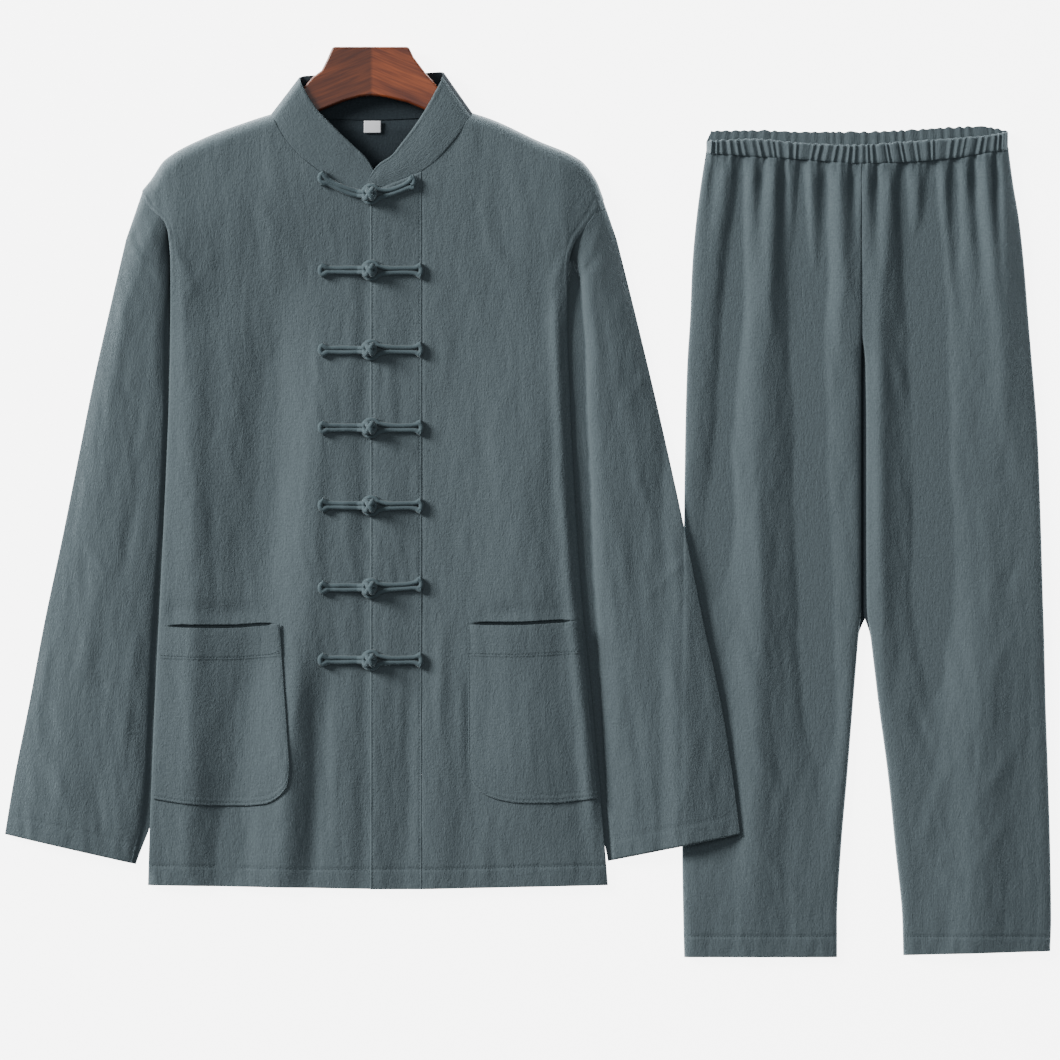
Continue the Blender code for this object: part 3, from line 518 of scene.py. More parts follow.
rightSleeveCreases = table(
    "startX startY endX endY height width bow",
    (-232, 690, -214, 640, 1.3, 4, 2),
    (-243, 676, -222, 628, -1.2, 3.5, -2),
    (-238, 640, -205, 600, 0.9, 4.5, 3),
    (-246, 610, -262, 480, 1.0, 7, 4),
    (-214, 590, -232, 420, 1.0, 6, 5),
    (-262, 520, -230, 470, -0.7, 5, 3),
    (-284, 440, -300, 330, -0.9, 7, -4),
    (-230, 440, -256, 280, -1.1, 7, 4),
    (-300, 360, -262, 310, 0.7, 5, 4),
    (-270, 330, -292, 200, 1.1, 8, 3),
    (-318, 290, -340, 160, 0.9, 6, 3),
    (-232, 260, -246, 120, 1.0, 6, -3),
    (-300, 230, -250, 196, -0.7, 5, -4),
    (-330, 150, -300, 62, 1.0, 8, 4),
    (-280, 140, -262, 44, -1.0, 7, -3),
)
leftSleeveCreases = table(
    "startX startY endX endY height width bow",
    (240, 680, 222, 636, 1.3, 4, -2),
    (236, 640, 208, 600, -0.9, 4.5, -3),
    (252, 620, 272, 500, 0.9, 7, -4),
    (226, 600, 246, 440, -0.9, 6, 4),
    (276, 520, 250, 480, 0.6, 5, 3),
    (262, 470, 290, 330, 1.0, 7, -4),
    (300, 400, 318, 280, -0.8, 6, 3),
    (236, 400, 262, 250, 0.9, 7, 4),
    (320, 330, 282, 290, 0.6, 5, -4),
    (290, 290, 312, 170, 1.1, 8, -4),
    (248, 240, 270, 110, -1.0, 7, 3),
    (338, 230, 352, 120, 0.8, 6, 2),
    (322, 160, 306, 60, 0.9, 8, 3),
    (262, 130, 268, 40, 1.0, 7, -2),
)
rightLegCreases = table(
    "startX startY endX endY height width bow",
    (-150, 760, -146, 640, 0.9, 6, 2),
    (-128, 740, -120, 560, -1.0, 6, 3),
    (-92, 770, -88, 600, 0.9, 6, -3),
    (-58, 740, -50, 600, 0.9, 5, 2),
    (-30, 780, -40, 640, -0.9, 6, 3),
    (-14, 700, -30, 560, 0.8, 6, -3),
    (-140, 560, -120, 440, 0.7, 7, 4),
    (-70, 580, -60, 430, 0.8, 7, 4),
    (-160, 480, -120, 420, -0.6, 6, 4),
    (-108, 450, -96, 300, 0.8, 7, 3),
    (-36, 500, -56, 380, 0.7, 7, -4),
    (-150, 360, -110, 260, 0.8, 8, 6),
    (-80, 340, -40, 250, -0.7, 7, 6),
    (-130, 240, -80, 150, 0.9, 8, 6),
    (-60, 210, -90, 100, 0.8, 8, -5),
    (-160, 180, -130, 60, 0.8, 7, 4),
    (-110, 120, -60, 60, 0.6, 6, -3),
    (-80, 70, -74, 6, -0.8, 7, 1),
    (-132, 60, -136, 6, 0.7, 7, 1),
)
leftLegCreases = table(
    "startX startY endX endY height width bow",
    (22, 770, 18, 640, 0.9, 6, 2),
    (44, 760, 46, 600, 0.9, 6, -3),
    (84, 770, 92, 600, 0.9, 7, 3),
    (112, 760, 126, 620, -0.9, 6, 3),
    (140, 770, 150, 640, 0.9, 5, -2),
    (24, 620, 52, 500, 0.8, 7, 5),
    (90, 590, 100, 450, 0.7, 8, -4),
    (150, 600, 140, 470, -0.7, 7, 3),
    (40, 480, 60, 340, 0.9, 7, 5),
    (120, 460, 130, 330, 0.8, 8, 4),
    (160, 420, 130, 350, -0.6, 7, 4),
    (60, 360, 96, 250, 0.8, 8, 6),
    (150, 330, 120, 220, 0.8, 7, -6),
    (44, 250, 80, 170, -0.8, 7, 5),
    (160, 240, 112, 150, 0.9, 8, 6),
    (90, 200, 60, 90, 0.9, 8, -5),
    (150, 150, 100, 80, 0.7, 7, 5),
    (60, 110, 120, 50, 0.7, 7, -4),
    (84, 60, 88, 8, -0.8, 7, 1),
    (146, 64, 150, 8, 0.7, 7, 1),
)


def creasesAt(creases, x, y):
    # Each crease swells and fades unevenly along its line.
    total = np.zeros(np.broadcast(x, y).shape)
    for startX, startY, endX, endY, height, width, bow in zip(*creases.values()):
        runX, runY = endX - startX, endY - startY
        length = math.hypot(runX, runY)
        along = ((x - startX) * runX + (y - startY) * runY) / length**2
        inside = np.clip(along, 0, 1)
        off = ((y - startY) * runX - (x - startX) * runY) / length
        off = off - 4 * bow * inside * (1 - inside)
        swell = np.sin(math.pi * inside) ** 0.7 * (1 + 0.35 * np.sin(9 * inside + startX))
        total = total + height * swell * np.exp(-((off / width) ** 2))
    return total


def ripple(x, y, across, along, seed):
    # Smooth random heights from -1 to 1, one swell for each across by along millimetres.
    cells = np.random.default_rng(seed).uniform(-1, 1, (97, 101))
    column, row = np.floor(x / across).astype(int), np.floor(y / along).astype(int)
    s, t = x / across - column, y / along - row
    s, t = s * s * (3 - 2 * s), t * t * (3 - 2 * t)

    def cell(right, up):
        return cells[(row + up) % 97, (column + right) % 101]

    low = cell(0, 0) * (1 - s) + cell(1, 0) * s
    high = cell(0, 1) * (1 - s) + cell(1, 1) * s
    return low * (1 - t) + high * t


def crinkle(x, y, seed):
    # The cloth's soft upright crinkle, wide enough for the sheet's own points.
    lean = 0.12 * y + 9 * ripple(x, y, 60, 90, seed)
    fine = 0.3 * ripple(x + lean, y, 7, 34, seed + 1)
    fine = fine + 0.16 * ripple(x - lean, y, 5.5, 20, seed + 2)
    return fine + 0.5 * ripple(x, y, 19, 75, seed + 3) + 0.7 * ripple(x, y, 48, 150, seed + 4)


hemStitch = 20.0  # height of the hem's stitch line over its edge
foldGain = 0.8  # how much of the solids' soft folds is laid over them once more


def hemAt(above, x):
    # The turned hem: its stitch draws a shallow groove and puckers the cloth at both sides.
    groove = -0.5 * np.exp(-((above - hemStitch) / 1.9) ** 2)
    pucker = 0.45 * np.exp(-((above - hemStitch * 0.55) / 11) ** 2)
    return groove + pucker * ripple(x, above, 6.5, 26, 71)


def hemLine(x):
    return -1 + 4 * ramp(40, 238, np.abs(x))


def bodyTopAt(x, y):
    # Top of the dressed fronts.
    x, y = np.broadcast_arrays(np.asarray(x, float), np.asarray(y, float))
    half = np.where(x < 0, sideHalfWidth(y, rightFront), sideHalfWidth(y, leftFront))
    calm = 0.25 + 0.75 * ramp(1, 16, half - np.abs(x) + 60 * ramp(630, 660, y))
    calm = calm * (0.35 + 0.65 * ramp(0, 20, shoulderAt(x) - y))
    detail = crinkle(x, y, 11) + creasesAt(bodyCreases, x, y) + foldGain * foldsAt(bodyFolds, x, y)
    sideSwell = 3.6 * np.exp(-(((half - x - 11) / 7.5) ** 2))  # darkens the viewer's-right side
    sideSwell = sideSwell * ramp(30, 110, y) * (1 - ramp(560, 625, y))
    total = bodyHeight(x, y) + 0.15 + calm * detail + sideSwell + hemAt(y - hemLine(x), x)
    return np.maximum(total, sideLiftAt(x, y) + 2.2)


# The waistband: gathers and random seed of each half, and how far the legs run up under it.
waistband = {"front": (42, 81), "back": (30, 85), "tuck": 3.0, "top": 6.3, "wall": 1.4}

# Narrow pleats drawn in under the waistband: place, depth, half width, length and lean.
drawnPleats = table(
    "x depth width length lean",
    (-149, -1.6, 3.5, 60, -6),
    (-136, 1.3, 4.5, 90, -10),
    (-121, -2.2, 4.0, 120, -8),
    (-110, 1.2, 4.5, 80, -6),
    (-100, -1.6, 3.5, 70, -4),
    (-88, 1.4, 5.0, 110, -4),
    (-79, -1.8, 3.5, 90, 0),
    (-61, -2.6, 4.0, 150, 6),
    (-52, 1.5, 5.0, 130, 6),
    (-37, -2.2, 4.0, 120, 0),
    (-24, 1.2, 4.5, 90, 2),
    (-10, -1.6, 3.5, 70, 2),
    (4, 1.0, 4.0, 60, 0),
    (14, -1.8, 3.5, 90, 2),
    (27, 1.4, 4.5, 100, 4),
    (40, -2.3, 4.0, 120, 4),
    (54, 1.4, 5.0, 110, 6),
    (70, -2.6, 4.0, 150, -2),
    (81, 1.3, 4.5, 100, 4),
    (92, -2.0, 4.0, 110, 6),
    (101, 1.2, 4.5, 80, 8),
    (111, -2.0, 3.5, 90, 10),
    (122, 1.4, 4.5, 100, 12),
    (133, -2.0, 3.5, 100, 8),
)


def sharpPleatsAt(x, fromBand):
    total = np.zeros(np.broadcast(x, fromBand).shape)
    for middle, depth, width, length, lean in zip(*drawnPleats.values()):
        down = np.clip(fromBand / (1.8 * length), 0, 1)
        away = (x - middle - lean * down) / (width * (1 + 1.2 * down))
        total = total + depth * (1 - down) ** 1.2 * np.exp(-(away**2))
    return total


def gathersAt(x, half):
    # Uneven ridges across the waistband, one for each gather.
    count, seed = waistband[half]
    low, high = bandLines["x"][0], bandLines["x"][-1]
    shift = np.random.default_rng(seed).uniform(-0.4, 0.4, count + 1)
    at = np.clip((x - low) / (high - low), 0, 1) * count
    phase = at + np.interp(at, np.arange(count + 1), shift)
    size = np.random.default_rng(seed + 1).uniform(0.25, 1.25, count + 1)
    height = np.interp(at, np.arange(count + 1), size)
    return height * (1 - 2 * np.abs(np.cos(math.pi * phase)) ** 1.3)


def legTopAt(x, y):
    # Top of the dressed trouser fronts.
    x, y = np.broadcast_arrays(np.asarray(x, float), np.asarray(y, float))
    right, rightInner, leftInner, left = legEdges(y)
    inside = np.where(x < 0, np.minimum(x - right, rightInner - x + 40 * ramp(600, 640, y)),
                      np.minimum(left - x, x - leftInner + 40 * ramp(600, 640, y)))
    creases = np.where(x < 0, creasesAt(rightLegCreases, x, y), creasesAt(leftLegCreases, x, y))
    calm = 0.2 + 0.8 * ramp(1, 14, inside)
    creases = creases + 1.5 * foldsAt(legFolds, x, y) * (1 - 0.4 * ramp(700, 780, y))
    fromBand = np.maximum(follow(bandLines["x"], bandLines["seamY"], x) - y, 0)
    drawn = (0.6 + 1.3 * gathersAt(x, "front")) * np.exp(-fromBand / 12)
    drawn = drawn + 2.1 * (0.3 + 0.7 * ramp(0, 24, fromBand)) * sharpPleatsAt(x, fromBand)
    total = legHeight(x, y) + 0.1 + calm * (crinkle(x, y, 31) + creases + drawn) + hemAt(y - 1, x)
    return np.maximum(total, 2.9)


def spread(low, high, step, fine=()):
    # Positions from low to high, about a step apart, and closer around each fine one.
    places = np.linspace(low, high, max(2, round((high - low) / step) + 1))
    for middle, reach, near in fine:
        extra = np.arange(max(low, middle - reach), min(high, middle + reach), near)
        places = places[(np.abs(places - middle) > reach) | (places == low) | (places == high)]
        places = np.concatenate([places, extra])
    return np.unique(np.round(places, 4))


def addSheet(name, place, x, y, z, grain, wall, ring=False):
    # A sheet of quads over a lattice, face up, and a wall thick. A ring closes each row on
    # itself. grain holds the cloth's own coordinates at each point, in decimetres, with one
    # more column for a ring.
    x, y, z = np.broadcast_arrays(x, y, z)
    rows, columns = x.shape
    points = np.stack([x + place[0], y + place[1], z], axis=-1).reshape(-1, 3) * mm
    around = columns if ring else columns - 1
    i, j = np.meshgrid(np.arange(rows - 1), np.arange(around), indexing="ij")
    i, j = i.ravel(), j.ravel()
    after = (j + 1) % columns
    faces = np.stack([i * columns + j, i * columns + after, (i + 1) * columns + after,
                      (i + 1) * columns + j], axis=1)
    corners = np.stack([i, i, i + 1, i + 1], axis=1), np.stack([j, j + 1, j + 1, j], axis=1)
    upper = j < (columns // 2 if ring else columns)
    first, second, fourth = (points[faces[upper, k]] for k in (0, 1, 3))
    if np.cross(second - first, fourth - first)[:, 2].sum() < 0:
        faces = faces[:, ::-1]
        corners = corners[0][:, ::-1], corners[1][:, ::-1]
    mesh = bpy.data.meshes.new(name)
    mesh.from_pydata(points.tolist(), [], faces.tolist())
    layer = mesh.uv_layers.new(name="grain")
    u, v = (np.broadcast_to(part, (rows, columns + 1 if ring else columns)) for part in grain)
    flat = np.stack([u[corners], v[corners]], axis=-1) / 100
    layer.data.foreach_set("uv", flat.reshape(-1))
    mesh.polygons.foreach_set("use_smooth", np.ones(len(faces), bool))
    sheet = bpy.data.objects.new(name, mesh)
    bpy.context.scene.collection.objects.link(sheet)
    thickness = sheet.modifiers.new("cloth", "SOLIDIFY")
    thickness.thickness = wall * mm
    thickness.offset = -1
    return sheet


def dress(piece, node, material):
    piece.data.materials.append(material)
    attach(piece, "root")
    if node:
        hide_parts(node)
    return piece


def plug(tree, socket, value):
    if isinstance(value, bpy.types.NodeSocket):
        tree.links.new(value, socket)
    else:
        socket.default_value = value


def newMaterial(name):
    # A material, and a function that adds a node with some inputs set or linked and returns one
    # of its outputs. An input is given by its name or, as i0, i1 and so on, by its number.
    material = bpy.data.materials.new(name)
    material.use_nodes = True
    tree = material.node_tree

    def add(kind, settings=None, out=0, **inputs):
        made = tree.nodes.new(kind)
        for name, value in (settings or {}).items():
            setattr(made, name, value)
        for name, value in inputs.items():
            key = int(name[1:]) if name[1:].isdigit() else name.replace("_", " ")
            plug(tree, made.inputs[key], value)
        return made.outputs[out]

    return material, add


def finish(material, roughness, **inputs):
    surface = material.node_tree.nodes["Principled BSDF"]
    for name, value in {"Roughness": roughness, **inputs}.items():
        plug(material.node_tree, surface.inputs[name.replace("_", " ")], value)
    return material


def clothMaterial(name, settings):
    # Slub linen-cotton: an upright crinkle, a thread grain and short thick threads both ways.
    material, add = newMaterial(name)
    grain = add("ShaderNodeUVMap", {"uv_map": "grain"})

    def noise(scale, detail, distortion):
        place = add("ShaderNodeMapping", Vector=grain, Scale=scale)
        return add("ShaderNodeTexNoise", Vector=place, Scale=1.0, Detail=detail, Roughness=0.55,
                   Distortion=distortion)

    def scaled(value, factor):
        return add("ShaderNodeMath", {"operation": "MULTIPLY"}, i0=value, i1=factor)

    def plus(first, second):
        return add("ShaderNodeMath", {"operation": "ADD"}, i0=first, i1=second)

    upright = noise((19, 6.0, 1), 4.0, 1.2)
    cross = noise((16, 11, 1), 4.0, 1.6)
    threads = noise((62, 40, 1), 3.0, 0.4)
    weft = noise((9, 110, 1), 1.0, 0.0)
    warp = noise((110, 7, 1), 1.0, 0.0)
    slubs = plus(scaled(weft, 0.5), scaled(warp, 0.5))
    height = plus(scaled(upright, settings["upright"]), scaled(cross, settings["cross"]))
    height = plus(height, scaled(threads, settings["threads"]))
    height = plus(height, scaled(slubs, settings["slubs"]))
    bump = add("ShaderNodeBump", Height=height, Strength=1.0, Distance=settings["depth"] * mm)
    tone = plus(scaled(threads, 0.6), scaled(slubs, 0.4))
    tone = add("ShaderNodeMapRange", i0=tone, i1=0.35, i2=0.65, i3=0.0, i4=1.0)
    colour = add("ShaderNodeMix", {"data_type": "RGBA"}, "Result", i0=tone,
                 i6=(*settings["dark"], 1), i7=(*settings["light"], 1))
    return finish(material, 0.88, Base_Color=colour, Normal=bump, Specular_IOR_Level=0.2,
                  Sheen_Weight=settings["sheen"], Sheen_Roughness=0.5,
                  Sheen_Tint=(0.75, 0.88, 0.95, 1))


outerCloth = clothMaterial("outer cloth", {
    "dark": (0.080, 0.106, 0.117), "light": (0.112, 0.146, 0.160), "sheen": 0.12,
    "upright": 0.55, "cross": 0.5, "threads": 0.6, "slubs": 0.3, "depth": 0.9,
})
trouserCloth = clothMaterial("trouser cloth", {
    "dark": (0.080, 0.106, 0.117), "light": (0.112, 0.146, 0.160), "sheen": 0.12,
    "upright": 0.6, "cross": 0.5, "threads": 0.5, "slubs": 0.3, "depth": 0.8,
})
# Dark cloth for the insides that show: painted shade, about four times darker than the same cloth
# outside.
paintedShadeCloth = clothMaterial("inner cloth painted shade", {
    "dark": (0.018, 0.026, 0.032), "light": (0.03, 0.042, 0.05), "sheen": 0.02,
    "upright": 0.5, "cross": 0.45, "threads": 0.5, "slubs": 0.3, "depth": 0.6,
})


def cordMaterial():
    # Bias-cut cord of the same cloth, its weave at a slant.
    material, add = newMaterial("frog cord")
    place = add("ShaderNodeTexCoord", out="Object")
    slant = add("ShaderNodeMapping", Vector=place, Scale=(1600, 700, 900), Rotation=(0, 0, 0.7))
    weave = add("ShaderNodeTexNoise", Vector=slant, Scale=1.0, Detail=2.0, Roughness=0.6)
    bump = add("ShaderNodeBump", Height=weave, Strength=0.7, Distance=0.35 * mm)
    colour = add("ShaderNodeMix", {"data_type": "RGBA"}, "Result", i0=weave,
                 i6=(0.058, 0.088, 0.1, 1), i7=(0.092, 0.132, 0.148, 1))
    return finish(material, 0.8, Base_Color=colour, Normal=bump, Specular_IOR_Level=0.25,
                  Sheen_Weight=0.15)


def labelMaterial():
    material, add = newMaterial("label tape")
    place = add("ShaderNodeTexCoord", out="Object")
    fine = add("ShaderNodeMapping", Vector=place, Scale=(300, 2600, 1))
    weave = add("ShaderNodeTexNoise", Vector=fine, Scale=1.0, Detail=1.0)
    bump = add("ShaderNodeBump", Height=weave, Strength=0.5, Distance=0.1 * mm)
    return finish(material, 0.6, Base_Color=(0.85, 0.87, 0.9, 1), Normal=bump)


def woodMaterial():
    # Varnished wood: the grain runs down each arm from the mitre in the middle, where the light
    # side meets the dark one.
    material, add = newMaterial("varnished wood")
    mitre = (jacketPlace[0] + 2) * mm
    point = add("ShaderNodeTexCoord", out="Object")
    x = add("ShaderNodeSeparateXYZ", out="X", Vector=point)
    y = add("ShaderNodeSeparateXYZ", out="Y", Vector=point)
    z = add("ShaderNodeSeparateXYZ", out="Z", Vector=point)
    side = add("ShaderNodeMath", {"operation": "SUBTRACT"}, i0=x, i1=mitre)
    away = add("ShaderNodeMath", {"operation": "ABSOLUTE"}, i0=side)
    lean = add("ShaderNodeMath", {"operation": "MULTIPLY"}, i0=away, i1=0.4)
    across = add("ShaderNodeMath", {"operation": "ADD"}, i0=y, i1=lean)
    place = add("ShaderNodeCombineXYZ", X=side, Y=across, Z=z)
    stretched = add("ShaderNodeMapping", Vector=place, Scale=(28, 420, 420))
    streaks = add("ShaderNodeTexNoise", Vector=stretched, Scale=1.0, Detail=4.0, Roughness=0.6,
                  Distortion=0.5)
    wide = add("ShaderNodeMapping", Vector=place, Scale=(16, 90, 90))
    bands = add("ShaderNodeTexNoise", Vector=wide, Scale=1.0, Detail=2.0)
    both = add("ShaderNodeMath", {"operation": "MULTIPLY"}, i0=streaks, i1=bands)
    tone = add("ShaderNodeMapRange", i0=both, i1=0.1, i2=0.42, i3=0.0, i4=1.0)
    grain = add("ShaderNodeMix", {"data_type": "RGBA"}, "Result", i0=tone,
                i6=(0.085, 0.015, 0.005, 1), i7=(0.33, 0.076, 0.018, 1))
    lighter = add("ShaderNodeMapRange", i0=side, i1=-1.5 * mm, i2=1.5 * mm, i3=0.55, i4=1.1)
    colour = add("ShaderNodeMix", {"data_type": "RGBA", "blend_type": "MULTIPLY"}, "Result",
                 i0=1.0, i6=grain, i7=lighter)
    bump = add("ShaderNodeBump", Height=streaks, Strength=0.4, Distance=0.15 * mm)
    return finish(material, 0.42, Base_Color=colour, Normal=bump, Coat_Weight=0.12,
                  Coat_Roughness=0.2)


frogCord, labelTape, varnish = cordMaterial(), labelMaterial(), woodMaterial()
print("materials made")

sheetWall = 0.9  # one layer of cloth
step = 2.4  # distance between a sheet's points
hidden = 9.0  # the same where nothing shows


def levelsFor(front, heights):
    middle = (front["neckY"] + front["sideY"]) / 2
    return np.interp(heights, middle, np.arange(len(middle)))


def mouthSlotAt(pocket, x, y):
    # The front falls away behind the pocket's mouth, which stands a little open.
    reach = np.abs(pocket["topX"])
    share = (np.abs(x) - reach[0]) / (reach[-1] - reach[0])
    above = y - np.interp(np.abs(x), reach, pocket["topY"])
    gape = ramp(0.02, 0.16, share) * (1 - ramp(0.8, 0.97, share))
    lip = 1 - ramp(1.0 + 1.6 * gape, 1.6 + 1.6 * gape, above)
    return 5.2 * gape * lip * ramp(-14, -5, above)


# Each front's plan, pocket and width at the chest.
fronts = {
    "jacket_front_right": {"plan": rightFront, "pocket": rightPocket, "width": 225},
    "jacket_front_left": {"plan": leftFront, "pocket": leftPocket, "width": 165},
}
openingDip = 1.8  # how far the right front sinks beside the placket
placketTuck = 3.5  # how far the left front runs under the placket
lowestFront = 2.5  # keeps the front over the back behind a pocket's mouth


def addFront(node, settings):
    front, width = settings["plan"], settings["width"]
    top = (front["neckY"] + front["sideY"])[-1] / 2
    heights = spread(1, top, step, [(hemStitch, 6, 0.8), (3, 2, 0.7), (264, 7, 0.6)])
    shares = spread(0, 1, step / width, [(0.0, 0.02, 0.004), (1.0, 0.1, 0.006)])
    x, y = frontLattice(front, levelsFor(front, heights), shares)
    z = np.maximum(bodyTopAt(x, y) - mouthSlotAt(settings["pocket"], x, y), lowestFront)
    fromArmhole = (1 - shares) * width
    seamDip = 0.8 * np.exp(-((fromArmhole / 1.8) ** 2))
    seamDip = seamDip + 0.4 * np.exp(-(((fromArmhole - 5) / 1.2) ** 2))
    z = z - seamDip * ramp(590, 640, y)
    if front is leftFront:
        tucked = (1 - ramp(placketSeam, placketSeam + 6, x)) * (1 - ramp(700, 716, y))
        x = x - placketTuck * tucked
        z = z - 1.1 * (1 - ramp(placketSeam - 1.5, placketSeam + 1.2, x))
    else:
        z = z - openingDip * np.exp(-((x + 5) / 9) ** 2) * (1 - ramp(600, 690, y))
    piece = addSheet(node + "_cloth", jacketPlace, x, y, z, (x, y), sheetWall)
    return dress(piece, node, outerCloth)


for node, settings in fronts.items():
    addFront(node, settings)

levels = levelsFor(rightFront, spread(1, 735, hidden))
x, y = backLattice(levels, spread(0, 1, hidden / 430))
innerSag = creasesAt(bodyCreases, -x, y) * 0.3 * ramp(0, 40, shoulderAt(x) - y)
backZ = sideLiftAt(x, y) + sheetWall + 0.1 + np.maximum(innerSag, 0)
backCloth = addSheet("jacket_back_cloth", jacketPlace, x, y, backZ, (x, y), sheetWall)
# The back takes the dark cloth: painted shade where it shows inside the neck.
dress(backCloth, "jacket_back", paintedShadeCloth)
print("fronts and back made")


# Placket: folded double, so it stands above both fronts, with a stitch line by each edge.
placket = {"wall": 1.1, "height": 0.35, "stitchInset": 2.6}


def placketTopAt(x, y):
    edges = np.minimum(np.abs(x - placketEdge), np.abs(x - placketSeam))
    rounded = 0.5 * rolled(edges, 1.6) - 0.5
    stitch = -0.3 * np.exp(-((edges - placket["stitchInset"]) / 0.8) ** 2)
    return bodyTopAt(x, y) + placketLiftAt(x) + placket["height"] + rounded + stitch


heights = spread(-1, 688, step, [(hemStitch - 1, 6, 0.8), (1, 2, 0.7)])
nearEdges = [(placketEdge + 2, 2, 0.5), (placketSeam - 2, 2, 0.5)]
across = spread(placketEdge, placketSeam, 2.0, nearEdges)
neckX, neckY = (placketEdge, 5, 14, 32, placketSeam), (697.3, 698, 701, 708, 716.2)
neck = np.interp(across, neckX, neckY) - seam
up = (heights - heights[0]) / (heights[-1] - heights[0])
start = ramp(0.93, 1, up)[:, None]
y = heights[:, None] + start * (neck - heights[-1])[None, :]
x = across[None, :] * np.ones_like(y)
placketCloth = addSheet("jacket_placket_cloth", jacketPlace, x, y, placketTopAt(x, y),
                        (x + 300, y), placket["wall"])
dress(placketCloth, "jacket_placket", outerCloth)


# Collar: a stiff band, folded over at its upper edge, which laps a little over the body's seam.
collarBand = {"wall": 1.5, "width": 40, "lap": 0.7}


def collarLattice(sections, up):
    rows = np.arange(len(collar["seamX"]))
    at = {name: follow(rows, values, sections)[None, :] for name, values in collar.items()}
    up = np.asarray(up, float)[:, None]
    acrossX, acrossY = at["edgeX"] - at["seamX"], at["edgeY"] - at["seamY"]
    inset = -collarBand["lap"] / np.hypot(acrossX, acrossY)
    share = inset + (1 - inset) * up
    return (at["seamX"] + acrossX * share, at["seamY"] + acrossY * share,
            at["seamZ"] + (at["edgeZ"] - at["seamZ"]) * share)


sections = spread(0, len(collar["seamX"]) - 1, 0.12)
up = spread(0, 1, 0.09, [(0.0, 0.08, 0.02), (1.0, 0.12, 0.02)])
x, y, z = collarLattice(sections, up)
flatPart = 1 - ramp(7.2, 8.6, sections) * (1 - ramp(16.4, 17.8, sections))
belly = np.sin(math.pi * up)[:, None] * (0.9 * flatPart)
fromEdge = (1 - up) * collarBand["width"]
edgeRoll = 0.5 * rolled(fromEdge, 2.4) - 0.5 + 0.35 * np.exp(-((fromEdge - 2.0) / 1.4) ** 2)
seamRoll = 0.5 * rolled(up * collarBand["width"], 2.0) - 0.5
onlyFront = flatPart[None, :]
soft = 0.35 * crinkle(x * 1.2, y * 1.2, 51)
z = z + belly + (edgeRoll + seamRoll)[:, None] * onlyFront + soft * onlyFront + 0.1
run = np.cumsum(np.hypot(np.gradient(x[0]), np.gradient(y[0])))[None, :]
collarCloth = addSheet("jacket_collar_cloth", jacketPlace, x, y, z, (up[:, None] * 44, run),
                       collarBand["wall"])
dress(collarCloth, "jacket_collar", outerCloth)
# The collar's back part takes the dark cloth: painted shade inside the neck.
collarCloth.data.materials.append(paintedShadeCloth)
inShade = (sections[:-1] > 8.5) & (sections[:-1] < 16.5)
collarCloth.data.polygons.foreach_set("material_index", np.tile(inShade, len(up) - 1).astype(int))


# Sleeves: tubes laid flat, with a soft crest down each.
def sleeveProfile(share, crest, crestZ, thin, fall):
    outside = np.sin(math.pi / 2 * np.clip(share / crest, 0, 1)) ** 0.8
    inside = np.cos(math.pi / 2 * np.clip((share - crest) / (thin - crest), 0, 1)) ** fall
    return flatTube + (crestZ - flatTube) * np.where(share < crest, outside, inside)


def sleeveFloor(x, y):
    # The left sleeve's cuff lies on the trousers' leg, so its underside rises there.
    legX = x + jacketPlace[0] - trousersPlace[0]
    legY = y + jacketPlace[1] - trousersPlace[1]
    edge = legEdges(legY)[0]
    return (legHeight(legX, legY) + 2.2) * ramp(edge - 24, edge - 2, legX)


def sleeveLattice(settings, levels, turns):
    # Plan, top height and share across of a sleeve. Level 0 is the armhole.
    sleeve, front = settings["rings"], settings["front"]
    armhole = slice(topLevel, firstArmholeLevel - 1, -1)
    way = np.sign(sleeve["outerX"][0])
    startX = np.append(front["sideX"][armhole], way * np.array([195.5, 193.0]))
    lowest = front["sideY"][firstArmholeLevel]
    startY = np.append(front["sideY"][armhole], [lowest - 3, lowest - 5])
    stepX, stepY = np.gradient(startX), np.gradient(startY)
    pace = np.hypot(stepX, stepY)
    startX = startX - way * stepY / pace * armholeSeam
    startY = startY + way * stepX / pace * armholeSeam
    corners = np.arange(len(sleeveShares))
    seamX, seamY = follow(corners, startX, turns), follow(corners, startY, turns)
    seamZ = follow(corners, bodyHeight(startX, startY), turns)
    keep = follow(corners, armholeFall, turns)
    seamZ = flatTube + (seamZ - flatTube) * keep
    share = follow(corners, sleeveShares, turns)[None, :]
    rows = np.arange(1, len(sleeve["crest"]) + 1)
    levels = np.asarray(levels, float)[:, None]
    row = {name: follow(rows, values, np.maximum(levels, 1)) for name, values in sleeve.items()}
    blend = np.minimum(levels, 1)
    x = row["outerX"] * (1 - share) + row["innerX"] * share
    y = row["outerY"] * (1 - share) + row["innerY"] * share
    z = sleeveProfile(share, row["crest"], row["crestZ"], row["thin"], settings["fall"])
    x = seamX * (1 - blend) + x * blend
    y = seamY * (1 - blend) + y * blend
    z = (seamZ - 1.7) * (1 - blend) + z * blend
    return x, y, z, share, blend


def sleeveTops(x, y, z, share, blend, creases, seed):
    calm = 0.08 + 0.92 * ramp(0, 0.12, share) * (1 - ramp(0.86, 1, share))
    calm = calm * (0.15 + 0.85 * blend)
    return z + 0.1 + calm * (1.1 * crinkle(x, y, seed) + creasesAt(creases, x, y))


# Each sleeve's rings, front, creases, random seed and how steeply it falls to the jacket's side.
sleeves = {
    "sleeve_right": {"rings": rightSleeve, "front": rightFront, "creases": rightSleeveCreases,
                     "seed": 61, "fall": 0.28},
    "sleeve_left": {"rings": leftSleeve, "front": leftFront, "creases": leftSleeveCreases,
                    "seed": 67, "fall": 0.55},
}


